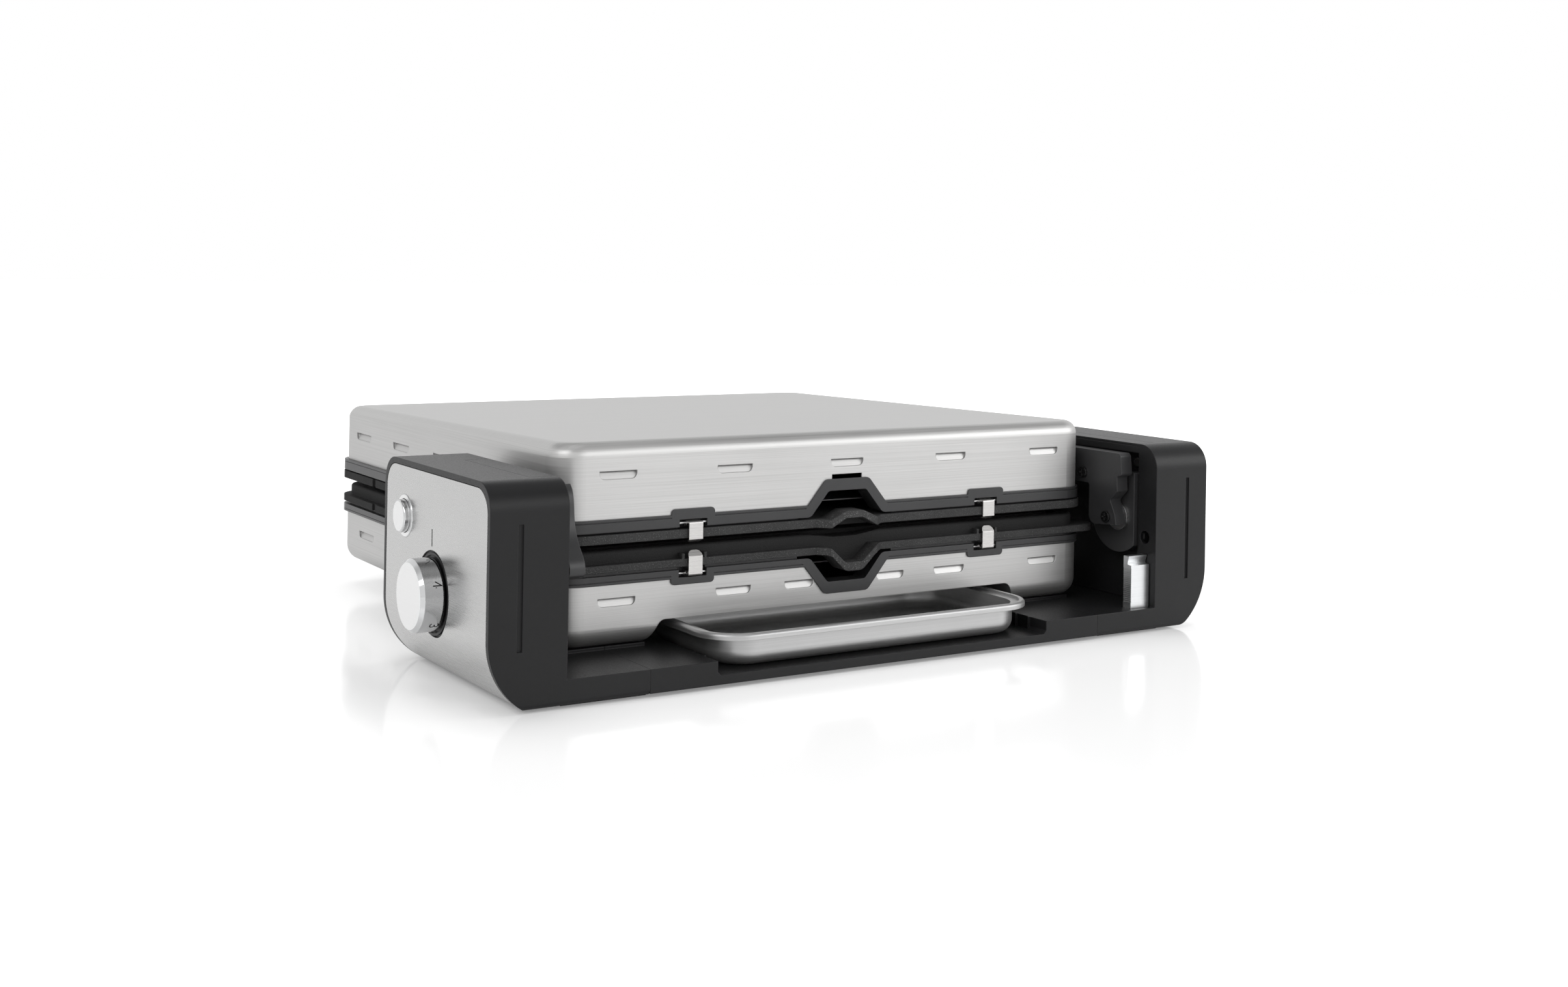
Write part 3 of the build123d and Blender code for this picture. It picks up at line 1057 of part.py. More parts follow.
clamp_places = [(x, y) for y in CLAMP_BACKS for x in (-HEATER_HALF, HEATER_HALF)]
with BuildPart() as heater_clamps:
    for x, y in clamp_places:
        block((x - CLAMP_WIDTH / 2, x + CLAMP_WIDTH / 2), (y - CLAMP_WIDTH / 2, y + CLAMP_WIDTH / 2),
              (LOWER_EDGE, LOWER_HEATER_HEIGHT))
    for x, y in clamp_places:
        dowel(x, (y - CLAMP_WIDTH, y + CLAMP_WIDTH), LOWER_HEATER_HEIGHT, TUBE_RADIUS + HEATER_GAP / 3,
              mode=Mode.SUBTRACT)
save(heater_clamps.part, "heater_clamps")


def save_clip(name, x, pin_height, end, curl):
    """One spring clip: eye round its pin, leaf in front of the rim, end curled over the plate's flange."""
    onward = 1 if end > pin_height else -1
    leaf_back = CLIP_FACE + CLIP_SHEET
    shoulder = pin_height - onward * CLIP_SHEET
    bend = end - onward * curl
    x_span = (x - CLIP_WIDTH / 2, x + CLIP_WIDTH / 2)
    with BuildPart() as tongue:
        prism_x([(CLIP_FACE, bend), (HOOK_TIP - CLIP_SHEET, end), (HOOK_TIP, end), (leaf_back, bend)], x_span)
        prism_y([(x_span[0], bend), (x_span[0], end), (x_span[1], end), (x_span[1], bend)],
                (CLIP_FACE, HOOK_TIP), (CLIP_CURL_ROUND * curl, CLIP_CURL_ROUND * curl), mode=Mode.INTERSECT)
    with BuildPart() as clip:
        rod(x_span, CLIP_PIN_BACK, pin_height, CLIP_EYE_RADIUS)
        block(x_span, (CLIP_FACE, CLIP_PIN_BACK), (pin_height, shoulder))
        block(x_span, (CLIP_FACE, leaf_back), (bend, shoulder))
        rod(x_span, CLIP_PIN_BACK, pin_height, CLIP_PIN_RADIUS + PIN_FIT, mode=Mode.SUBTRACT)
        fillet(clip.edges().filter_by(Axis.X).group_by(Axis.Y)[0].sort_by(Axis.Z)[0 if onward > 0 else -1],
               CLIP_SHEET)
        add(tongue.part)
    save(clip.part, name)


for name, outward in SIDES:
    place = outward * CLIP_PLACE
    save_clip(f"upper_{name}_clip", place, UPPER_CLIP_PIN, UPPER_PLATE_LOW - UPPER_CLIP_DROP, UPPER_CURL)
    save_clip(f"lower_{name}_clip", place, LOWER_CLIP_PIN, LOWER_FLANGE_TOP + LOWER_CLIP_RISE, LOWER_CURL)

for name, height in (("upper", UPPER_CLIP_PIN), ("lower", LOWER_CLIP_PIN)):
    half = CLIP_PIN_HALF - PIN_END_GAP
    with BuildPart() as clip_pins:
        for x in (-CLIP_PLACE, CLIP_PLACE):
            rod((x - half, x + half), CLIP_PIN_BACK, height, CLIP_PIN_RADIUS)
    save(clip_pins.part, f"{name}_clip_pins")

# Arms that join the upper half to the axles
for name, outward in SIDES:
    x_span = (outward * ARM_INNER, outward * (ARM_INNER + ARM_THICKNESS))
    with BuildPart() as arm:
        with BuildSketch(side(x_span[0])) as outline:
            with BuildLine():
                if name == "left":
                    front = LEFT_ARM_FRONT
                    Spline(*front)
                else:
                    front = RIGHT_ARM_FRONT
                    FilletPolyline(*front, radius=ARM_BEND, close=False)
                FilletPolyline(front[-1], (ARM_BACK, ARM_TOP), (ARM_BACK, ARM_UNDER), (ARM_HEEL[0], ARM_UNDER),
                               ARM_HEEL, front[0], radius=(ARM_BEND, ARM_BEND, ARM_BEND, ARM_HEEL_RADIUS),
                               close=False)
            make_face()
        extrude(outline.sketch, amount=ARM_THICKNESS, dir=(outward, 0, 0))
        block((outward * SHELL_HALF, x_span[0]), (ARM_PAD_FRONT, ARM_BACK), (ARM_PAD_LOW, ARM_PAD_HIGH))
        rod((outward * AXLE_START, x_span[1]), AXLE_BACK, AXLE_HEIGHT, AXLE_RADIUS + PIN_FIT,
            mode=Mode.SUBTRACT)
        rod((x_span[0], outward * AXLE_START), AXLE_BACK, AXLE_HEIGHT, SCREW_RADIUS + SCREW_FIT,
            mode=Mode.SUBTRACT)
        hole_end = outward * (ARM_INNER + ARM_SCREW_HOLE)
        rod((x_span[0], hole_end), *ARM_SCREW, SCREW_RADIUS + SCREW_FIT, mode=Mode.SUBTRACT)
        for y, z in bolt_places():
            rod((outward * SHELL_HALF, hole_end), y, z, BOLT_RADIUS + SCREW_FIT, mode=Mode.SUBTRACT)
    save(arm.part, f"{name}_arm")

    with BuildPart() as bracket:
        with BuildSketch(side(outward * BRACKET_INNER)) as outline:
            with Locations((BRACKET_BACK, AXLE_HEIGHT)):
                Circle(BRACKET_RADIUS)
            with Locations((BRACKET_BACK, (AXLE_HEIGHT + BRACKET_TOP) / 2)):
                Rectangle(2 * BRACKET_RADIUS, BRACKET_TOP - AXLE_HEIGHT)
            with Locations((BRACKET_FRONT - BRACKET_RADIUS, AXLE_HEIGHT)):
                Rectangle(2 * BRACKET_RADIUS, 4 * BRACKET_RADIUS, mode=Mode.SUBTRACT)
        extrude(outline.sketch, amount=POCKET_WALL - BRACKET_INNER, dir=(outward, 0, 0))
        rod((outward * BRACKET_INNER, outward * POCKET_WALL), AXLE_BACK, AXLE_HEIGHT, BUSH_RADIUS + PIN_FIT,
            mode=Mode.SUBTRACT)
    save(bracket.part, f"{name}_hinge_bracket")

    with BuildPart() as bush:
        flange_end = outward * (BRACKET_INNER - BUSH_FLANGE)
        rod((flange_end, outward * BRACKET_INNER), AXLE_BACK, AXLE_HEIGHT, BUSH_FLANGE_RADIUS)
        rod((outward * BRACKET_INNER, outward * POCKET_WALL), AXLE_BACK, AXLE_HEIGHT, BUSH_RADIUS)
        rod((flange_end, outward * POCKET_WALL), AXLE_BACK, AXLE_HEIGHT, AXLE_RADIUS + AXLE_FIT,
            mode=Mode.SUBTRACT)
    save(bush.part, f"{name}_hinge_bush")

    with BuildPart() as axle:
        rod((outward * AXLE_START, outward * AXLE_END), AXLE_BACK, AXLE_HEIGHT, AXLE_RADIUS)
        rod((outward * AXLE_START, outward * (AXLE_START + SCREW_LENGTH)), AXLE_BACK, AXLE_HEIGHT,
            SCREW_RADIUS + SCREW_FIT, mode=Mode.SUBTRACT)
    save(axle.part, f"{name}_hinge_axle")

with BuildPart() as retainers:
    for name, outward in SIDES:
        start = COVER_BACK + RETAINER_GAP
        x_span = (outward * start, outward * (start + RETAINER_THICKNESS))
        rod(x_span, AXLE_BACK, AXLE_HEIGHT, RETAINER_RADIUS)
        rod(x_span, AXLE_BACK, AXLE_HEIGHT, AXLE_RADIUS + PIN_FIT, mode=Mode.SUBTRACT)
save(retainers.part, "hinge_retainers")

with BuildPart() as arm_screws:
    for name, outward in SIDES:
        head = outward * (ARM_INNER - CROSS_HEAD)
        slot = outward * (ARM_INNER - CROSS_HEAD + CROSS_SLOT_DEPTH)
        for y, z in ((AXLE_BACK, AXLE_HEIGHT), ARM_SCREW):
            rod((head, outward * ARM_INNER), y, z, CROSS_HEAD_RADIUS)
            rod((outward * ARM_INNER, outward * (ARM_INNER + ARM_SCREW_LENGTH)), y, z, SCREW_RADIUS)
            for width, height in ((CROSS_SLOT, CROSS_LENGTH), (CROSS_LENGTH, CROSS_SLOT)):
                block((head, slot), (y - width / 2, y + width / 2), (z - height / 2, z + height / 2),
                      mode=Mode.SUBTRACT)
save(arm_screws.part, "arm_screws")

with BuildPart() as arm_bolts:
    for name, outward in SIDES:
        inside = SHELL_HALF - SHEET
        for y, z in bolt_places():
            rod((outward * (inside - BOLT_HEAD), outward * inside), y, z, BOLT_HEAD_RADIUS)
            rod((outward * inside, outward * (ARM_INNER + ARM_SCREW_LENGTH)), y, z, BOLT_RADIUS)
save(arm_bolts.part, "arm_bolts")

# Stop lever, serrated on its inner side, and its pin
with BuildPart() as stop_lever:
    prism_x([(LEVER_FRONT, LEVER_LOW), (LEVER_FRONT, LEVER_SHOULDER[0]), (LEVER_NECK, LEVER_SHOULDER[1]),
             (LEVER_NECK, LEVER_SHOULDER[2]), (LEVER_CREST, LEVER_TOP), (LEVER_BACK, LEVER_TOP),
             (LEVER_BACK, LEVER_LOW)], (LEVER_INNER, LEVER_OUTER))
    z = FOOT_TOP + SERRATION_START
    while z < LEVER_SHOULDER[0] - SERRATION_STOP:
        block((LEVER_INNER, LEVER_INNER + SERRATION_DEPTH), (LEVER_FRONT, LEVER_BACK),
              (z, z + SERRATION_HEIGHT), mode=Mode.SUBTRACT)
        z += SERRATION_PITCH
    rod((LEVER_INNER, LEVER_OUTER), LEVER_PIN_BACK, LEVER_PIN_HEIGHT, LEVER_PIN_RADIUS + PIN_FIT,
        mode=Mode.SUBTRACT)
save(stop_lever.part, "stop_lever")

with BuildPart() as stop_lever_pin:
    rod((LEVER_INNER - LEVER_PIN_REACH, LEVER_OUTER + LEVER_PIN_REACH), LEVER_PIN_BACK, LEVER_PIN_HEIGHT,
        LEVER_PIN_RADIUS)
save(stop_lever_pin.part, "stop_lever_pin")

# Knob on its spindle, and the thermostat behind it
knob_face = -HALF_WIDTH - KNOB_PROUD
knob_inside = knob_face + KNOB_WALL
bore_start = knob_inside + SHAFT_END_GAP
with BuildPart() as knob:
    rod((knob_face, -HALF_WIDTH - KNOB_GAP), KNOB_BACK, KNOB_HEIGHT, KNOB_RADIUS)
    chamfer(knob.faces().sort_by(Axis.X)[0].edges(), KNOB_BEVEL)
    rod((knob_inside, -HALF_WIDTH - KNOB_GAP), KNOB_BACK, KNOB_HEIGHT, KNOB_RADIUS - KNOB_WALL,
        mode=Mode.SUBTRACT)
    rod((knob_inside, -HALF_WIDTH - KNOB_GAP), KNOB_BACK, KNOB_HEIGHT, KNOB_HUB_RADIUS)
    rod((bore_start, -HALF_WIDTH), KNOB_BACK, KNOB_HEIGHT, SHAFT_RADIUS + PIN_FIT, mode=Mode.SUBTRACT)
save(knob.part, "knob")

with BuildPart() as knob_shaft:
    rod((bore_start + PIN_END_GAP, -INSIDE + SHAFT_INSIDE), KNOB_BACK, KNOB_HEIGHT, SHAFT_RADIUS)
save(knob_shaft.part, "knob_shaft")

with BuildPart() as thermostat:
    half = THERMOSTAT_SIZE / 2
    block((-INSIDE, -INSIDE + THERMOSTAT_DEPTH), (KNOB_BACK - half, KNOB_BACK + half),
          (KNOB_HEIGHT - half + THERMOSTAT_TRIM, KNOB_HEIGHT + half))
    rod((-INSIDE, -INSIDE + SHAFT_INSIDE + SHAFT_HOLE_GAP), KNOB_BACK, KNOB_HEIGHT, SHAFT_RADIUS + SHAFT_FIT,
        mode=Mode.SUBTRACT)
save(thermostat.part, "thermostat")

# Push button in its switch, and the ring round it
button_face = -HALF_WIDTH - BUTTON_PROUD
button_back = button_face + BUTTON_LENGTH
with BuildPart() as power_button:
    rod((button_face, button_back), BUTTON_BACK, BUTTON_HEIGHT, BUTTON_RADIUS)
    fillet(power_button.faces().sort_by(Axis.X)[0].edges(), BUTTON_EDGE)
    rod((button_back, button_back + STEM_LENGTH), BUTTON_BACK, BUTTON_HEIGHT, STEM_RADIUS)
save(power_button.part, "power_button")

with BuildPart() as button_bezel:
    seat = -HALF_WIDTH + PANEL_SHEET + PANEL_BACK_GAP
    rod((-HALF_WIDTH - BEZEL_PROUD, seat), BUTTON_BACK, BUTTON_HEIGHT, BEZEL_RADIUS - BEZEL_FIT)
    chamfer(button_bezel.faces().sort_by(Axis.X)[0].edges(), BEZEL_BEVEL)
    rod((-HALF_WIDTH - BEZEL_PROUD, seat), BUTTON_BACK, BUTTON_HEIGHT, BUTTON_RADIUS + BUTTON_FIT,
        mode=Mode.SUBTRACT)
save(button_bezel.part, "button_bezel")

with BuildPart() as push_switch:
    cap_end = button_back + BUTTON_TRAVEL + STOP_GAP
    stem_end = cap_end + STEM_LENGTH
    half = SWITCH_SIZE / 2
    block((-INSIDE, -INSIDE + SWITCH_DEPTH), (BUTTON_BACK - half, BUTTON_BACK + half),
          (BUTTON_HEIGHT - half, BUTTON_HEIGHT + half))
    rod((-INSIDE, cap_end), BUTTON_BACK, BUTTON_HEIGHT, BUTTON_RADIUS + BUTTON_FIT, mode=Mode.SUBTRACT)
    rod((cap_end, stem_end), BUTTON_BACK, BUTTON_HEIGHT, STEM_RADIUS + SHAFT_FIT, mode=Mode.SUBTRACT)
save(push_switch.part, "push_switch")

with BuildPart() as terminal_block:
    block((-COVER_BACK - TERMINAL_DEPTH, -COVER_BACK), TERMINAL_BACK, TERMINAL_HEIGHT)
save(terminal_block.part, "terminal_block")

with BuildPart() as gland:
    x = GLAND_INSET - HALF_WIDTH
    inner_end = TOWER_DEPTH - WALL - GLAND_COLLAR_LENGTH
    collar_end = TOWER_DEPTH + GLAND_COLLAR_LENGTH
    nose_end = collar_end + GLAND_NOSE
    dowel(x, (inner_end, TOWER_DEPTH), GLAND_HEIGHT, GLAND_RADIUS - PIN_FIT)
    dowel(x, (TOWER_DEPTH, collar_end), GLAND_HEIGHT, GLAND_RADIUS + GLAND_COLLAR)
    dowel(x, (collar_end, nose_end), GLAND_HEIGHT, GLAND_RADIUS)
    dowel(x, (inner_end, nose_end), GLAND_HEIGHT, GLAND_BORE, mode=Mode.SUBTRACT)
save(gland.part, "cord_gland")


# Drip tray: a sheet pan with a flat deck and a rolled rim
def tray_form(high, inset=0.0):
    """Outside of the tray's pan up to a height, or its hollow when inset by the sheet."""
    front = TRAY_RIM_FRONT + TRAY_FRONT_DECK + inset
    back = TRAY_RIM_BACK - TRAY_DECK_WIDTH - inset
    with BuildPart() as form:
        slab((TRAY_LOW + inset, high), TRAY_HALF - inset, front, back, TRAY_CORNER - inset)
        fillet(form.faces().sort_by(Axis.Z)[0].edges(), TRAY_BOTTOM_RADIUS - inset)
    return form.part


tray_outside = tray_form(TRAY_DECK)
tray_inside = tray_form(TRAY_RIM_HIGH + 1, TRAY_SHEET)
with BuildPart() as drip_tray:
    slab((TRAY_RIM_LOW, TRAY_RIM_HIGH), TRAY_RIM_HALF, TRAY_RIM_FRONT, TRAY_RIM_BACK, TRAY_RIM_CORNER)
    fillet(drip_tray.faces().sort_by(Axis.Z)[-1].edges(), TRAY_ROLL / 2 - TRAY_SHEET / 10)
    slab((TRAY_RIM_LOW, TRAY_RIM_HIGH), TRAY_RIM_HALF - TRAY_ROLL, TRAY_RIM_FRONT + TRAY_ROLL,
         TRAY_RIM_BACK - TRAY_ROLL, TRAY_RIM_CORNER - TRAY_ROLL, mode=Mode.SUBTRACT)
    slab((TRAY_DECK - TRAY_SHEET, TRAY_DECK), TRAY_RIM_HALF - TRAY_SHEET, TRAY_RIM_FRONT + TRAY_SHEET,
         TRAY_RIM_BACK - TRAY_SHEET, TRAY_RIM_CORNER - TRAY_SHEET)
    add(tray_outside)
    add(tray_inside, mode=Mode.SUBTRACT)
save(drip_tray.part, "drip_tray")

# Handle on the free side of the lid
grip_back = SHELL_BACK + HANDLE_REACH
for name, outward in SIDES:
    x = outward * HANDLE_HALF
    x_span = (x - HANDLE_POST_WIDTH / 2, x + HANDLE_POST_WIDTH / 2)
    with BuildPart() as handle_post:
        block(x_span, (SHELL_BACK, grip_back), (HANDLE_HEIGHT - HANDLE_POST_HEIGHT / 2,
                                                HANDLE_HEIGHT + HANDLE_POST_HEIGHT / 2))
        fillet(handle_post.edges().filter_by(Axis.Y), HANDLE_POST_EDGE)
        rod((x_span[0] - 1, x_span[1] + 1), grip_back, HANDLE_HEIGHT, GRIP_RADIUS + GRIP_FIT,
            mode=Mode.SUBTRACT)
        dowel(x, (SHELL_BACK, SHELL_BACK + HANDLE_BOLT_LENGTH), HANDLE_HEIGHT, BOLT_RADIUS + SCREW_FIT,
              mode=Mode.SUBTRACT)
    save(handle_post.part, f"{name}_handle_post")

with BuildPart() as grip:
    rod((-HANDLE_HALF - GRIP_OVERHANG, HANDLE_HALF + GRIP_OVERHANG), grip_back, HANDLE_HEIGHT, GRIP_RADIUS)
    fillet(grip.edges().filter_by(GeomType.CIRCLE), GRIP_EDGE)
save(grip.part, "handle_grip")

with BuildPart() as handle_bolts:
    inside = SHELL_BACK - SHEET
    for x in (-HANDLE_HALF, HANDLE_HALF):
        dowel(x, (inside - BOLT_HEAD, inside), HANDLE_HEIGHT, BOLT_HEAD_RADIUS)
        dowel(x, (inside, inside + HANDLE_BOLT_LENGTH), HANDLE_HEIGHT, BOLT_RADIUS)
save(handle_bolts.part, "handle_bolts")
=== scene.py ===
import json
import math

import bmesh
import bpy
from mathutils import Matrix, Vector


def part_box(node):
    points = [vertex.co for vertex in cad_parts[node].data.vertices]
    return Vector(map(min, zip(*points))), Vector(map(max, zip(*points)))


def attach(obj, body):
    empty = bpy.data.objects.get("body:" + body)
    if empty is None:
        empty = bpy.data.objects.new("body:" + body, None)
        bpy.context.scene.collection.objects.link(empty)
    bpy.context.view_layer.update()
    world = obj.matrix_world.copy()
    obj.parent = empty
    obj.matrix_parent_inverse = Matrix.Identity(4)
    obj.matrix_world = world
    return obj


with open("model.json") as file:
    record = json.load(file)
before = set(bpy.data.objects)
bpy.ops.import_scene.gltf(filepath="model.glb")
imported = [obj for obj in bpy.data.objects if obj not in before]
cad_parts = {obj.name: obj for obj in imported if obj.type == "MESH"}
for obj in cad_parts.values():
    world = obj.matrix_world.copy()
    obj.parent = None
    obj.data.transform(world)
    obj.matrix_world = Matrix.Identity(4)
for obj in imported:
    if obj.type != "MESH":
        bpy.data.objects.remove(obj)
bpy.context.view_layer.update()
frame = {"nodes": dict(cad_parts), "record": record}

# Sizes are in metres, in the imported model's own frame: +Z up, standing on z = 0.
nodes = frame["nodes"]
scene = bpy.context.scene

# The photograph's view: a camera left of the hinge side, turned and slightly rolled but not tipped
PHOTO_WIDTH = 2408
PHOTO_HEIGHT = 1515
FOCAL_PIXELS = 2759.5
HORIZON_ROW = 397.0
CAMERA_YAW = math.radians(32.403)
CAMERA_ROLL = math.radians(0.968)
SENSOR = 36.0
TOWER_CORNER = Vector((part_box("left_tower")[0].x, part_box("left_tower")[0].y, 0.0))
CAMERA_FROM_CORNER = Vector((-0.3604, -0.8385, 0.2336))
NEAR_CLIP = 0.01
FAR_CLIP = 50.0


# Camera
def make_camera():
    forward = Vector((math.sin(CAMERA_YAW), math.cos(CAMERA_YAW), 0.0))
    right = Vector((math.cos(CAMERA_YAW), -math.sin(CAMERA_YAW), 0.0))
    up = Vector((0.0, 0.0, 1.0))
    across = math.cos(CAMERA_ROLL) * right + math.sin(CAMERA_ROLL) * up
    upright = -math.sin(CAMERA_ROLL) * right + math.cos(CAMERA_ROLL) * up
    data = bpy.data.cameras.new("photo_view")
    data.sensor_width = SENSOR
    data.lens = SENSOR * FOCAL_PIXELS / PHOTO_WIDTH
    data.shift_y = (HORIZON_ROW - PHOTO_HEIGHT / 2) / PHOTO_WIDTH
    data.clip_start = NEAR_CLIP
    data.clip_end = FAR_CLIP
    camera = bpy.data.objects.new("photo_view", data)
    turn = Matrix((across, upright, -forward)).transposed().to_4x4()
    camera.matrix_world = Matrix.Translation(TOWER_CORNER + CAMERA_FROM_CORNER) @ turn
    scene.collection.objects.link(camera)
    scene.camera = camera


make_camera()


# Node helpers for procedural materials
NOISE_LOW = 0.3
NOISE_HIGH = 0.7
BEVEL_SAMPLES = 6
FLAT_DOT = 0.98
SHARP_DOT = 0.75


class Shader:
    """A material under construction: makes nodes and links them."""

    def __init__(self, name):
        self.material = bpy.data.materials.new(name)
        self.material.use_nodes = True
        self.tree = self.material.node_tree
        self.tree.nodes.clear()
        self.output = self.tree.nodes.new("ShaderNodeOutputMaterial")
        self.surface = self.tree.nodes.new("ShaderNodeBsdfPrincipled")
        self.link(self.surface.outputs["BSDF"], self.output.inputs["Surface"])
        self.place = self.tree.nodes.new("ShaderNodeTexCoord").outputs["Object"]

    def link(self, source, target):
        self.tree.links.new(source, target)

    def put(self, socket, value):
        """Sets a socket to a number or colour, or links it."""
        if isinstance(value, bpy.types.NodeSocket):
            self.link(value, socket)
        else:
            socket.default_value = value

    def math(self, kind, first, second=0.0):
        node = self.tree.nodes.new("ShaderNodeMath")
        node.operation = kind
        self.put(node.inputs[0], first)
        self.put(node.inputs[1], second)
        return node.outputs[0]

    def stretch(self, scale):
        """Object coordinates scaled by axis."""
        node = self.tree.nodes.new("ShaderNodeMapping")
        self.link(self.place, node.inputs["Vector"])
        node.inputs["Scale"].default_value = scale
        return node.outputs["Vector"]

    def noise(self, vector, scale, rough, detail=2.0):
        node = self.tree.nodes.new("ShaderNodeTexNoise")
        self.link(vector, node.inputs["Vector"])
        node.inputs["Scale"].default_value = scale
        node.inputs["Detail"].default_value = detail
        node.inputs["Roughness"].default_value = rough
        return node.outputs["Fac"]

    def cells(self, vector, scale):
        node = self.tree.nodes.new("ShaderNodeTexVoronoi")
        self.link(vector, node.inputs["Vector"])
        node.inputs["Scale"].default_value = scale
        return node.outputs["Distance"]

    def remap(self, value, low, high, to_low, to_high):
        node = self.tree.nodes.new("ShaderNodeMapRange")
        self.put(node.inputs["Value"], value)
        node.inputs["From Min"].default_value = low
        node.inputs["From Max"].default_value = high
        node.inputs["To Min"].default_value = to_low
        node.inputs["To Max"].default_value = to_high
        return node.outputs["Result"]

    def from_noise(self, value, to_low, to_high):
        """Maps a noise to a range, by the middle stretch where most of its values lie."""
        return self.remap(value, NOISE_LOW, NOISE_HIGH, to_low, to_high)

    def mix(self, share, first, second):
        """Mixes two colours."""
        node = self.tree.nodes.new("ShaderNodeMix")
        node.data_type = "RGBA"
        self.put(node.inputs["Factor"], share)
        self.put(node.inputs["A"], first)
        self.put(node.inputs["B"], second)
        return node.outputs["Result"]

    def blend_value(self, share, first, second):
        node = self.tree.nodes.new("ShaderNodeMix")
        self.put(node.inputs["Factor"], share)
        self.put(node.inputs["A"], first)
        self.put(node.inputs["B"], second)
        return node.outputs["Result"]

    def normal_parts(self):
        node = self.tree.nodes.new("ShaderNodeSeparateXYZ")
        self.link(self.tree.nodes.new("ShaderNodeTexCoord").outputs["Normal"], node.inputs[0])
        return node.outputs

    def rounded(self, radius):
        """Normal with softly rounded edges."""
        node = self.tree.nodes.new("ShaderNodeBevel")
        node.samples = BEVEL_SAMPLES
        node.inputs["Radius"].default_value = radius
        return node.outputs["Normal"]

    def edge_mask(self, radius):
        """1 on sharp edges, 0 on flat faces."""
        dot = self.tree.nodes.new("ShaderNodeVectorMath")
        dot.operation = "DOT_PRODUCT"
        self.link(self.rounded(radius), dot.inputs[0])
        self.link(self.tree.nodes.new("ShaderNodeNewGeometry").outputs["Normal"], dot.inputs[1])
        return self.remap(dot.outputs["Value"], FLAT_DOT, SHARP_DOT, 0.0, 1.0)

    def bump(self, height, strength, distance, normal=None):
        node = self.tree.nodes.new("ShaderNodeBump")
        node.inputs["Strength"].default_value = strength
        node.inputs["Distance"].default_value = distance
        self.put(node.inputs["Height"], height)
        if normal is not None:
            self.link(normal, node.inputs["Normal"])
        self.link(node.outputs["Normal"], self.surface.inputs["Normal"])


def color(red, green=None, blue=None):
    green = red if green is None else green
    blue = red if blue is None else blue
    return (red, green, blue, 1.0)


# Materials
GRAIN_ALONG = 6.0
GRAIN_ACROSS = 2600.0
STREAK_DARK = 0.10
STREAK_LIGHT = 0.06
STREAK_BUMP = 0.10
STREAK_DEPTH = 0.00012
DULL_TONE = 1.35
EDGE_SMOOTHER = 0.12

# Where a face begins and ends to count as lying, or as the knob's end, by how far its normal is turned there
LYING = (0.5, 0.8)
END_FACE = (0.97, 0.995)

# Depths behind a plate's front edge between which painted shade fades in over the plate, darkening it inside
# the mouth
INSIDE_SHADE_FADE = (0.005, 0.012)


def brushed(name, base, rough, grain=1.0, spread=0.07, edge=0.0006, metallic=1.0):
    """Brushed sheet: grain runs level on upright faces and left to right on level ones."""
    shader = Shader(name)
    level_lines = shader.stretch((GRAIN_ALONG, GRAIN_ALONG, GRAIN_ACROSS))
    side_lines = shader.stretch((GRAIN_ALONG, GRAIN_ACROSS, GRAIN_ALONG))
    upright = shader.noise(level_lines, 1.0, detail=3.0, rough=0.65)
    flat = shader.noise(side_lines, 1.0, detail=3.0, rough=0.65)
    lying = shader.remap(shader.math("ABSOLUTE", shader.normal_parts()[2]), *LYING, 0.0, 1.0)
    streak = shader.blend_value(lying, upright, flat)
    cloud = shader.noise(shader.place, 9.0, detail=3.0, rough=0.6)
    tone = shader.from_noise(streak, 1.0 - STREAK_DARK * grain, 1.0 + STREAK_LIGHT * grain)
    tone = shader.math("MULTIPLY", tone, shader.from_noise(cloud, 0.97, 1.03))
    node = shader.tree.nodes.new("ShaderNodeVectorMath")
    node.operation = "SCALE"
    node.inputs[0].default_value = base[:3]
    shader.link(tone, node.inputs["Scale"])
    shader.link(node.outputs["Vector"], shader.surface.inputs["Base Color"])
    shader.surface.inputs["Metallic"].default_value = metallic
    rough_out = shader.from_noise(streak, rough - spread, rough + spread)
    rough_out = shader.math("ADD", rough_out, shader.from_noise(cloud, -0.02, 0.02))
    shader.link(rough_out, shader.surface.inputs["Roughness"])
    shader.bump(streak, STREAK_BUMP * grain, STREAK_DEPTH, shader.rounded(edge))
    return shader.material


def plastic(name, base, rough, grain_size=0.0007, depth=0.35, edge=0.0007, highlight_tone=2.6, gloss=0.5):
    """Satin moulded plastic: fine grain, with a painted highlight that makes sharp edges lighter in patches;
    the edges are also smoother.
    """
    shader = Shader(name)
    fine = shader.noise(shader.place, 1.0 / grain_size, detail=3.0, rough=0.6)
    cloud = shader.noise(shader.place, 14.0, detail=4.0, rough=0.55)
    # Painted highlight: sharp edges get a lighter base colour in cloudy patches, standing in for light caught
    # along them; the same mask lowers their roughness
    edge_share = shader.edge_mask(edge)
    highlight_and_roughness = shader.math("MULTIPLY", edge_share, shader.remap(cloud, 0.35, 0.65, 0.45, 1.0))
    light = tuple(part * highlight_tone for part in base[:3]) + (1.0,)
    dull = tuple(part * DULL_TONE for part in base[:3]) + (1.0,)
    ground = shader.mix(shader.from_noise(cloud, 0.0, 1.0), base, dull)
    shader.link(shader.mix(highlight_and_roughness, ground, light), shader.surface.inputs["Base Color"])
    rough_out = shader.from_noise(fine, rough - 0.06, rough + 0.06)
    rough_out = shader.math("SUBTRACT", rough_out, shader.math("MULTIPLY", highlight_and_roughness, EDGE_SMOOTHER))
    shader.link(rough_out, shader.surface.inputs["Roughness"])
    shader.surface.inputs["Specular IOR Level"].default_value = gloss
    shader.bump(fine, depth, 0.00008, shader.rounded(edge))
    return shader.material


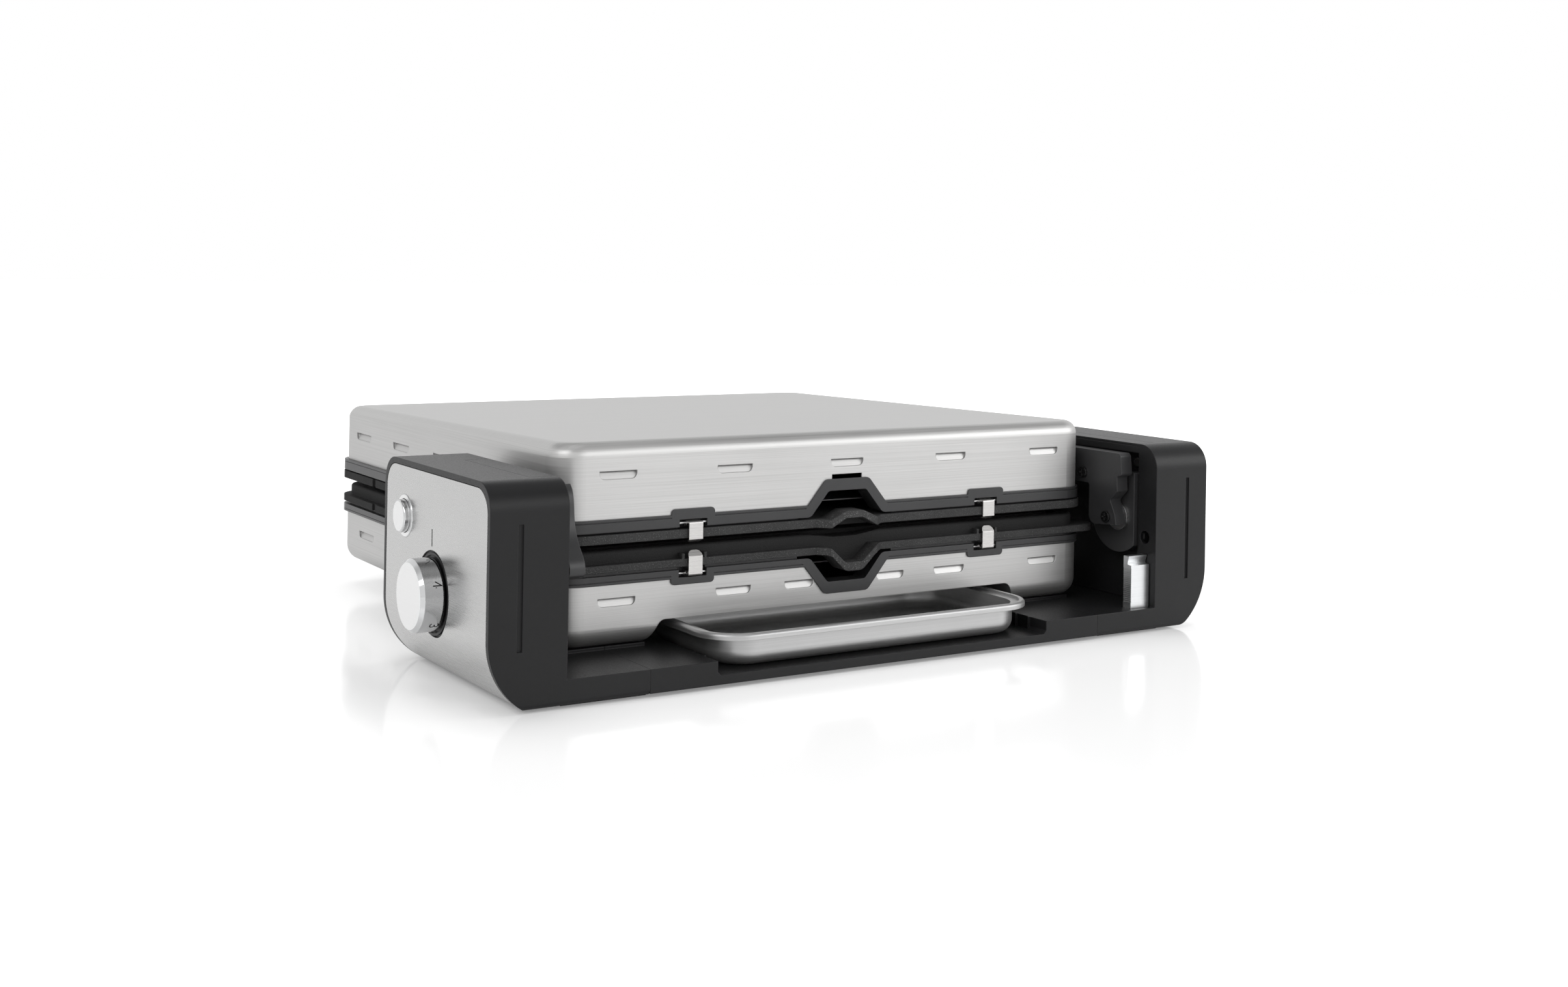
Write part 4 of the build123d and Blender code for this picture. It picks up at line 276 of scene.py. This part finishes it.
def cast_coating(name, front):
    """Cast plate under a granular non-stick coat."""
    shader = Shader(name)
    grains = shader.cells(shader.place, 1100.0)
    fine = shader.noise(shader.place, 1600.0, rough=0.6)
    cloud = shader.noise(shader.place, 60.0, detail=3.0, rough=0.6)
    height = shader.math("ADD", shader.math("MULTIPLY", grains, 0.8), fine)
    fleck = shader.remap(fine, 0.58, 0.70, 0.0, 1.0)
    # Painted shade: behind the flange at the front edge the plate is painted darker, standing in for the
    # shade in the mouth between the plates; there it is also duller
    across = shader.tree.nodes.new("ShaderNodeSeparateXYZ")
    shader.link(shader.place, across.inputs[0])
    fade_from, fade_to = (front + depth for depth in INSIDE_SHADE_FADE)
    painted_shade_share = shader.remap(across.outputs["Y"], fade_from, fade_to, 0.0, 1.0)
    ground = shader.mix(shader.from_noise(cloud, 0.0, 1.0), color(0.022), color(0.038))
    speckled = shader.mix(fleck, ground, color(0.16))
    shader.link(shader.mix(painted_shade_share, speckled, color(0.008)), shader.surface.inputs["Base Color"])
    highlight_and_roughness = shader.remap(grains, 0.0, 0.7, 0.42, 0.62)
    shader.link(shader.blend_value(painted_shade_share, highlight_and_roughness, 0.78), shader.surface.inputs["Roughness"])
    shader.surface.inputs["Specular IOR Level"].default_value = 0.38
    shader.bump(height, 0.6, 0.00025, shader.rounded(0.0008))
    return shader.material


def knob_metal(name, face_rough=0.34, side_rough=0.07):
    """Polished chrome with a turned, satin end face."""
    shader = Shader(name)
    toward = shader.math("ABSOLUTE", shader.normal_parts()[0])
    end_face = shader.remap(toward, *END_FACE, 0.0, 1.0)
    streak = shader.noise(shader.stretch((2.0, 6.0, 3000.0)), 1.0, rough=0.6)
    shader.link(shader.mix(end_face, color(0.60, 0.605, 0.61), color(0.80)),
                shader.surface.inputs["Base Color"])
    shader.surface.inputs["Metallic"].default_value = 1.0
    satin = shader.from_noise(streak, face_rough - 0.05, face_rough + 0.05)
    shader.link(shader.blend_value(end_face, side_rough, satin), shader.surface.inputs["Roughness"])
    shader.bump(streak, 0.05, 0.00005, shader.rounded(0.0003))
    return shader.material


def rubber(name):
    shader = Shader(name)
    fine = shader.noise(shader.place, 900.0, rough=0.6)
    shader.link(shader.mix(fine, color(0.018), color(0.035)), shader.surface.inputs["Base Color"])
    shader.surface.inputs["Roughness"].default_value = 0.8
    shader.bump(fine, 0.3, 0.0001)
    return shader.material


materials = {
    "brushed_steel": brushed("shell_steel", color(0.54, 0.537, 0.532), 0.42, grain=1.5, metallic=0.82),
    "panel_steel": brushed("panel_steel", color(0.52, 0.518, 0.515), 0.27, grain=0.22, spread=0.04,
                           edge=0.0003),
    "chrome": knob_metal("control_chrome"),
    "clip_metal": brushed("clip_steel", color(0.56, 0.55, 0.54), 0.30, grain=0.8, spread=0.06, edge=0.0003),
    "hardware": brushed("zinc_hardware", color(0.5), 0.3, grain=0.5, spread=0.05, edge=0.0002),
    "dark_hardware": brushed("dark_hardware", color(0.10), 0.28, grain=0.4, spread=0.04, edge=0.0002),
    "housing_plastic": plastic("housing_plastic", color(0.009, 0.009, 0.0095), 0.40, gloss=0.25),
    "rim_plastic": plastic("rim_plastic", color(0.024, 0.024, 0.025), 0.36, grain_size=0.0005, depth=0.25,
                           edge=0.0005, highlight_tone=3.0),
    "inner_plastic": plastic("inner_plastic", color(0.09), 0.5),
    "plate_coating": cast_coating("plate_coating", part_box("lower_plate")[0].y),
    "heater_metal": brushed("heater_metal", color(0.25, 0.24, 0.23), 0.5, grain=0.5),
    "reflector_metal": brushed("reflector_metal", color(0.12), 0.5, grain=0.4),
    "tray_steel": brushed("tray_steel", color(0.50), 0.40, grain=0.9, spread=0.06, edge=0.0004, metallic=0.8),
    "lever_aluminium": brushed("lever_aluminium", color(0.72, 0.73, 0.74), 0.33, grain=0.6, spread=0.05,
                               edge=0.0002),
    "rubber": rubber("pad_rubber"),
    "mark_paint": plastic("mark_paint", color(0.008), 0.6, gloss=0.1),
    "grip_plastic": plastic("grip_plastic", color(0.02), 0.45),
}
for entry in frame["record"]["subparts"]:
    node = nodes[entry["node"]]
    node.data.materials.clear()
    node.data.materials.append(materials[entry["material_slot"]])


# Printed marks: strokes in a box one unit high, bent round the knob's side
DIGIT_HEIGHT = 0.0046
DIGIT_WIDTH = 0.6 * DIGIT_HEIGHT
DIGIT_INSET = 0.0036
STROKE = 0.0006
INDEX_STROKE = 0.0009
PRINT_LIFT = 0.00004
DIGITS = {
    1: [[(0.12, 0.75), (0.38, 1.0), (0.38, 0.0)]],
    2: [[(0.0, 0.76), (0.09, 0.93), (0.3, 1.0), (0.52, 0.93), (0.6, 0.74), (0.5, 0.5),
         (0.0, 0.0), (0.62, 0.0)]],
    3: [[(0.0, 0.9), (0.16, 1.0), (0.4, 1.0), (0.57, 0.88), (0.57, 0.68), (0.42, 0.55), (0.24, 0.52),
         (0.45, 0.5), (0.6, 0.35), (0.58, 0.13), (0.4, 0.0), (0.15, 0.0), (0.0, 0.1)]],
    4: [[(0.46, 0.0), (0.46, 1.0), (0.0, 0.32), (0.66, 0.32)]],
}
FIRST_DIGIT_ANGLE = math.radians(365.0)
DIGIT_STEP = math.radians(-70.0)
TICK_ANGLE = math.radians(103.0)
INDEX_LENGTH = 0.0084
INDEX_GAP = 0.006
INDEX_BACK = 0.0015


def add_strokes(mesh, lines, place, stroke=STROKE):
    """Adds a flat bar along each piece of each line. place() puts a point of the drawing in space."""
    for line in lines:
        for first, second in zip(line, line[1:]):
            along = Vector(second) - Vector(first)
            across = Vector((-along.y, along.x)).normalized() * stroke / 2
            reach = along.normalized() * stroke / 2
            corners = (Vector(first) - reach - across, Vector(second) + reach - across,
                       Vector(second) + reach + across, Vector(first) - reach + across)
            mesh.faces.new([mesh.verts.new(place(corner)) for corner in corners])


def finish_marks(mesh, name, body):
    data = bpy.data.meshes.new(name)
    mesh.to_mesh(data)
    mesh.free()
    marks = bpy.data.objects.new(name, data)
    scene.collection.objects.link(marks)
    data.materials.append(materials["mark_paint"])
    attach(marks, body)


def make_knob_marks():
    low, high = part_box("knob")
    middle = (low + high) / 2
    radius = (high.z - low.z) / 2 + PRINT_LIFT
    center_x = high.x - DIGIT_INSET

    def on_side(angle, width):
        def place(point):
            turned = angle + (point.x - width / 2) / radius
            return (center_x + point.y - DIGIT_HEIGHT / 2, middle.y + radius * math.cos(turned),
                    middle.z + radius * math.sin(turned))
        return place

    mesh = bmesh.new()
    for digit, lines in DIGITS.items():
        sized = [[(u * DIGIT_HEIGHT, v * DIGIT_HEIGHT) for u, v in line] for line in lines]
        angle = FIRST_DIGIT_ANGLE + (digit - 1) * DIGIT_STEP
        add_strokes(mesh, sized, on_side(angle, DIGIT_WIDTH))
    tick = [[(0.0, 0.3 * DIGIT_HEIGHT), (0.0, 0.8 * DIGIT_HEIGHT)]]
    add_strokes(mesh, tick, on_side(TICK_ANGLE, 0.0))
    finish_marks(mesh, "knob_marks", "knob")


def make_index_line():
    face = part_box("left_side_panel")[0].x - PRINT_LIFT
    knob_low, knob_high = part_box("knob")
    back = (knob_low.y + knob_high.y) / 2 + INDEX_BACK
    low = knob_high.z + INDEX_GAP
    mesh = bmesh.new()
    line = [[(0.0, 0.0), (0.0, INDEX_LENGTH)]]
    add_strokes(mesh, line, lambda point: (face, back - point.x, low + point.y), INDEX_STROKE)
    finish_marks(mesh, "index_line", "base")


make_knob_marks()
make_index_line()

# Studio: white floor and surroundings, soft lamps
FLOOR_HALF = 12.0
FLOOR_GLOW_NEAR = 0.22
FLOOR_GLOW_GLOSSY = 0.1
FLOOR_FADE = (0.5, 1.1)
AMBIENT = 0.6
BAND_LEVEL = 0.22


def make_floor():
    mesh = bpy.data.meshes.new("floor")
    corners = [(-FLOOR_HALF, -FLOOR_HALF, 0), (FLOOR_HALF, -FLOOR_HALF, 0), (FLOOR_HALF, FLOOR_HALF, 0),
               (-FLOOR_HALF, FLOOR_HALF, 0)]
    mesh.from_pydata(corners, [], [(0, 1, 2, 3)])
    floor = bpy.data.objects.new("floor", mesh)
    scene.collection.objects.link(floor)
    shader = Shader("studio_floor")
    shader.surface.inputs["Base Color"].default_value = color(0.82)
    shader.surface.inputs["Roughness"].default_value = 0.12
    shader.surface.inputs["Specular IOR Level"].default_value = 0.4
    path = shader.tree.nodes.new("ShaderNodeLightPath")
    distance = shader.tree.nodes.new("ShaderNodeVectorMath")
    distance.operation = "LENGTH"
    shader.link(shader.place, distance.inputs[0])
    white = shader.remap(distance.outputs["Value"], *FLOOR_FADE, FLOOR_GLOW_NEAR, 1.0)
    seen = shader.math("MULTIPLY", path.outputs["Is Camera Ray"], white)
    mirrored = shader.math("MULTIPLY", path.outputs["Is Glossy Ray"], FLOOR_GLOW_GLOSSY)
    glow = shader.tree.nodes.new("ShaderNodeEmission")
    glow.inputs["Color"].default_value = color(1.0)
    shader.link(shader.math("ADD", seen, mirrored), glow.inputs["Strength"])
    total = shader.tree.nodes.new("ShaderNodeAddShader")
    shader.link(shader.surface.outputs["BSDF"], total.inputs[0])
    shader.link(glow.outputs["Emission"], total.inputs[1])
    shader.link(total.outputs["Shader"], shader.output.inputs["Surface"])
    mesh.materials.append(shader.material)


def make_world():
    """White to the camera, dimmer as ambient light, with one darker band high up for the metal to mirror."""
    world = bpy.data.worlds.new("studio")
    scene.world = world
    world.use_nodes = True
    tree = world.node_tree
    tree.nodes.clear()
    output = tree.nodes.new("ShaderNodeOutputWorld")
    background = tree.nodes.new("ShaderNodeBackground")
    background.inputs["Color"].default_value = color(1.0)
    path = tree.nodes.new("ShaderNodeLightPath")
    parts = tree.nodes.new("ShaderNodeSeparateXYZ")
    tree.links.new(tree.nodes.new("ShaderNodeTexCoord").outputs["Generated"], parts.inputs[0])
    band = tree.nodes.new("ShaderNodeValToRGB")
    tree.links.new(parts.outputs["Z"], band.inputs["Fac"])
    ramp = band.color_ramp
    ramp.elements[0].position = 0.30
    ramp.elements[0].color = color(1.0)
    ramp.elements[1].position = 0.98
    ramp.elements[1].color = color(0.85)
    for position, value in ((0.62, 0.95), (0.74, BAND_LEVEL), (0.88, BAND_LEVEL)):
        ramp.elements.new(position).color = color(value)
    lit = tree.nodes.new("ShaderNodeMapRange")
    tree.links.new(path.outputs["Is Glossy Ray"], lit.inputs["Value"])
    lit.inputs["To Min"].default_value = AMBIENT
    tree.links.new(band.outputs["Color"], lit.inputs["To Max"])
    seen = tree.nodes.new("ShaderNodeMath")
    seen.operation = "MAXIMUM"
    tree.links.new(path.outputs["Is Camera Ray"], seen.inputs[0])
    tree.links.new(path.outputs["Is Transmission Ray"], seen.inputs[1])
    level = tree.nodes.new("ShaderNodeMapRange")
    tree.links.new(seen.outputs[0], level.inputs["Value"])
    tree.links.new(lit.outputs["Result"], level.inputs["To Min"])
    level.inputs["To Max"].default_value = 1.0
    tree.links.new(level.outputs["Result"], background.inputs["Strength"])
    tree.links.new(background.outputs["Background"], output.inputs["Surface"])


def softbox(name, place, target, width, height, power, mirrored=True):
    data = bpy.data.lights.new(name, "AREA")
    data.shape = "RECTANGLE"
    data.size = width
    data.size_y = height
    data.energy = power
    lamp = bpy.data.objects.new(name, data)
    lamp.location = place
    lamp.rotation_euler = (Vector(target) - Vector(place)).to_track_quat("-Z", "Y").to_euler()
    lamp.visible_camera = False
    lamp.visible_glossy = mirrored
    scene.collection.objects.link(lamp)


make_floor()
make_world()
softbox("key_left", (-1.9, -1.0, 1.5), (0, 0, 0.06), width=1.6, height=1.2, power=14.0)
softbox("top_light", (0.2, 0.3, 2.2), (0, 0.05, 0.1), width=2.0, height=1.6, power=26.0, mirrored=False)
softbox("front_fill", (0.9, -2.2, 0.9), (0, 0, 0.05), width=1.6, height=1.0, power=8.0)
softbox("right_front", (1.1, -0.9, 0.5), (0.25, -0.1, 0.08), width=0.6, height=0.6, power=3.0)

scene.view_settings.view_transform = "Standard"
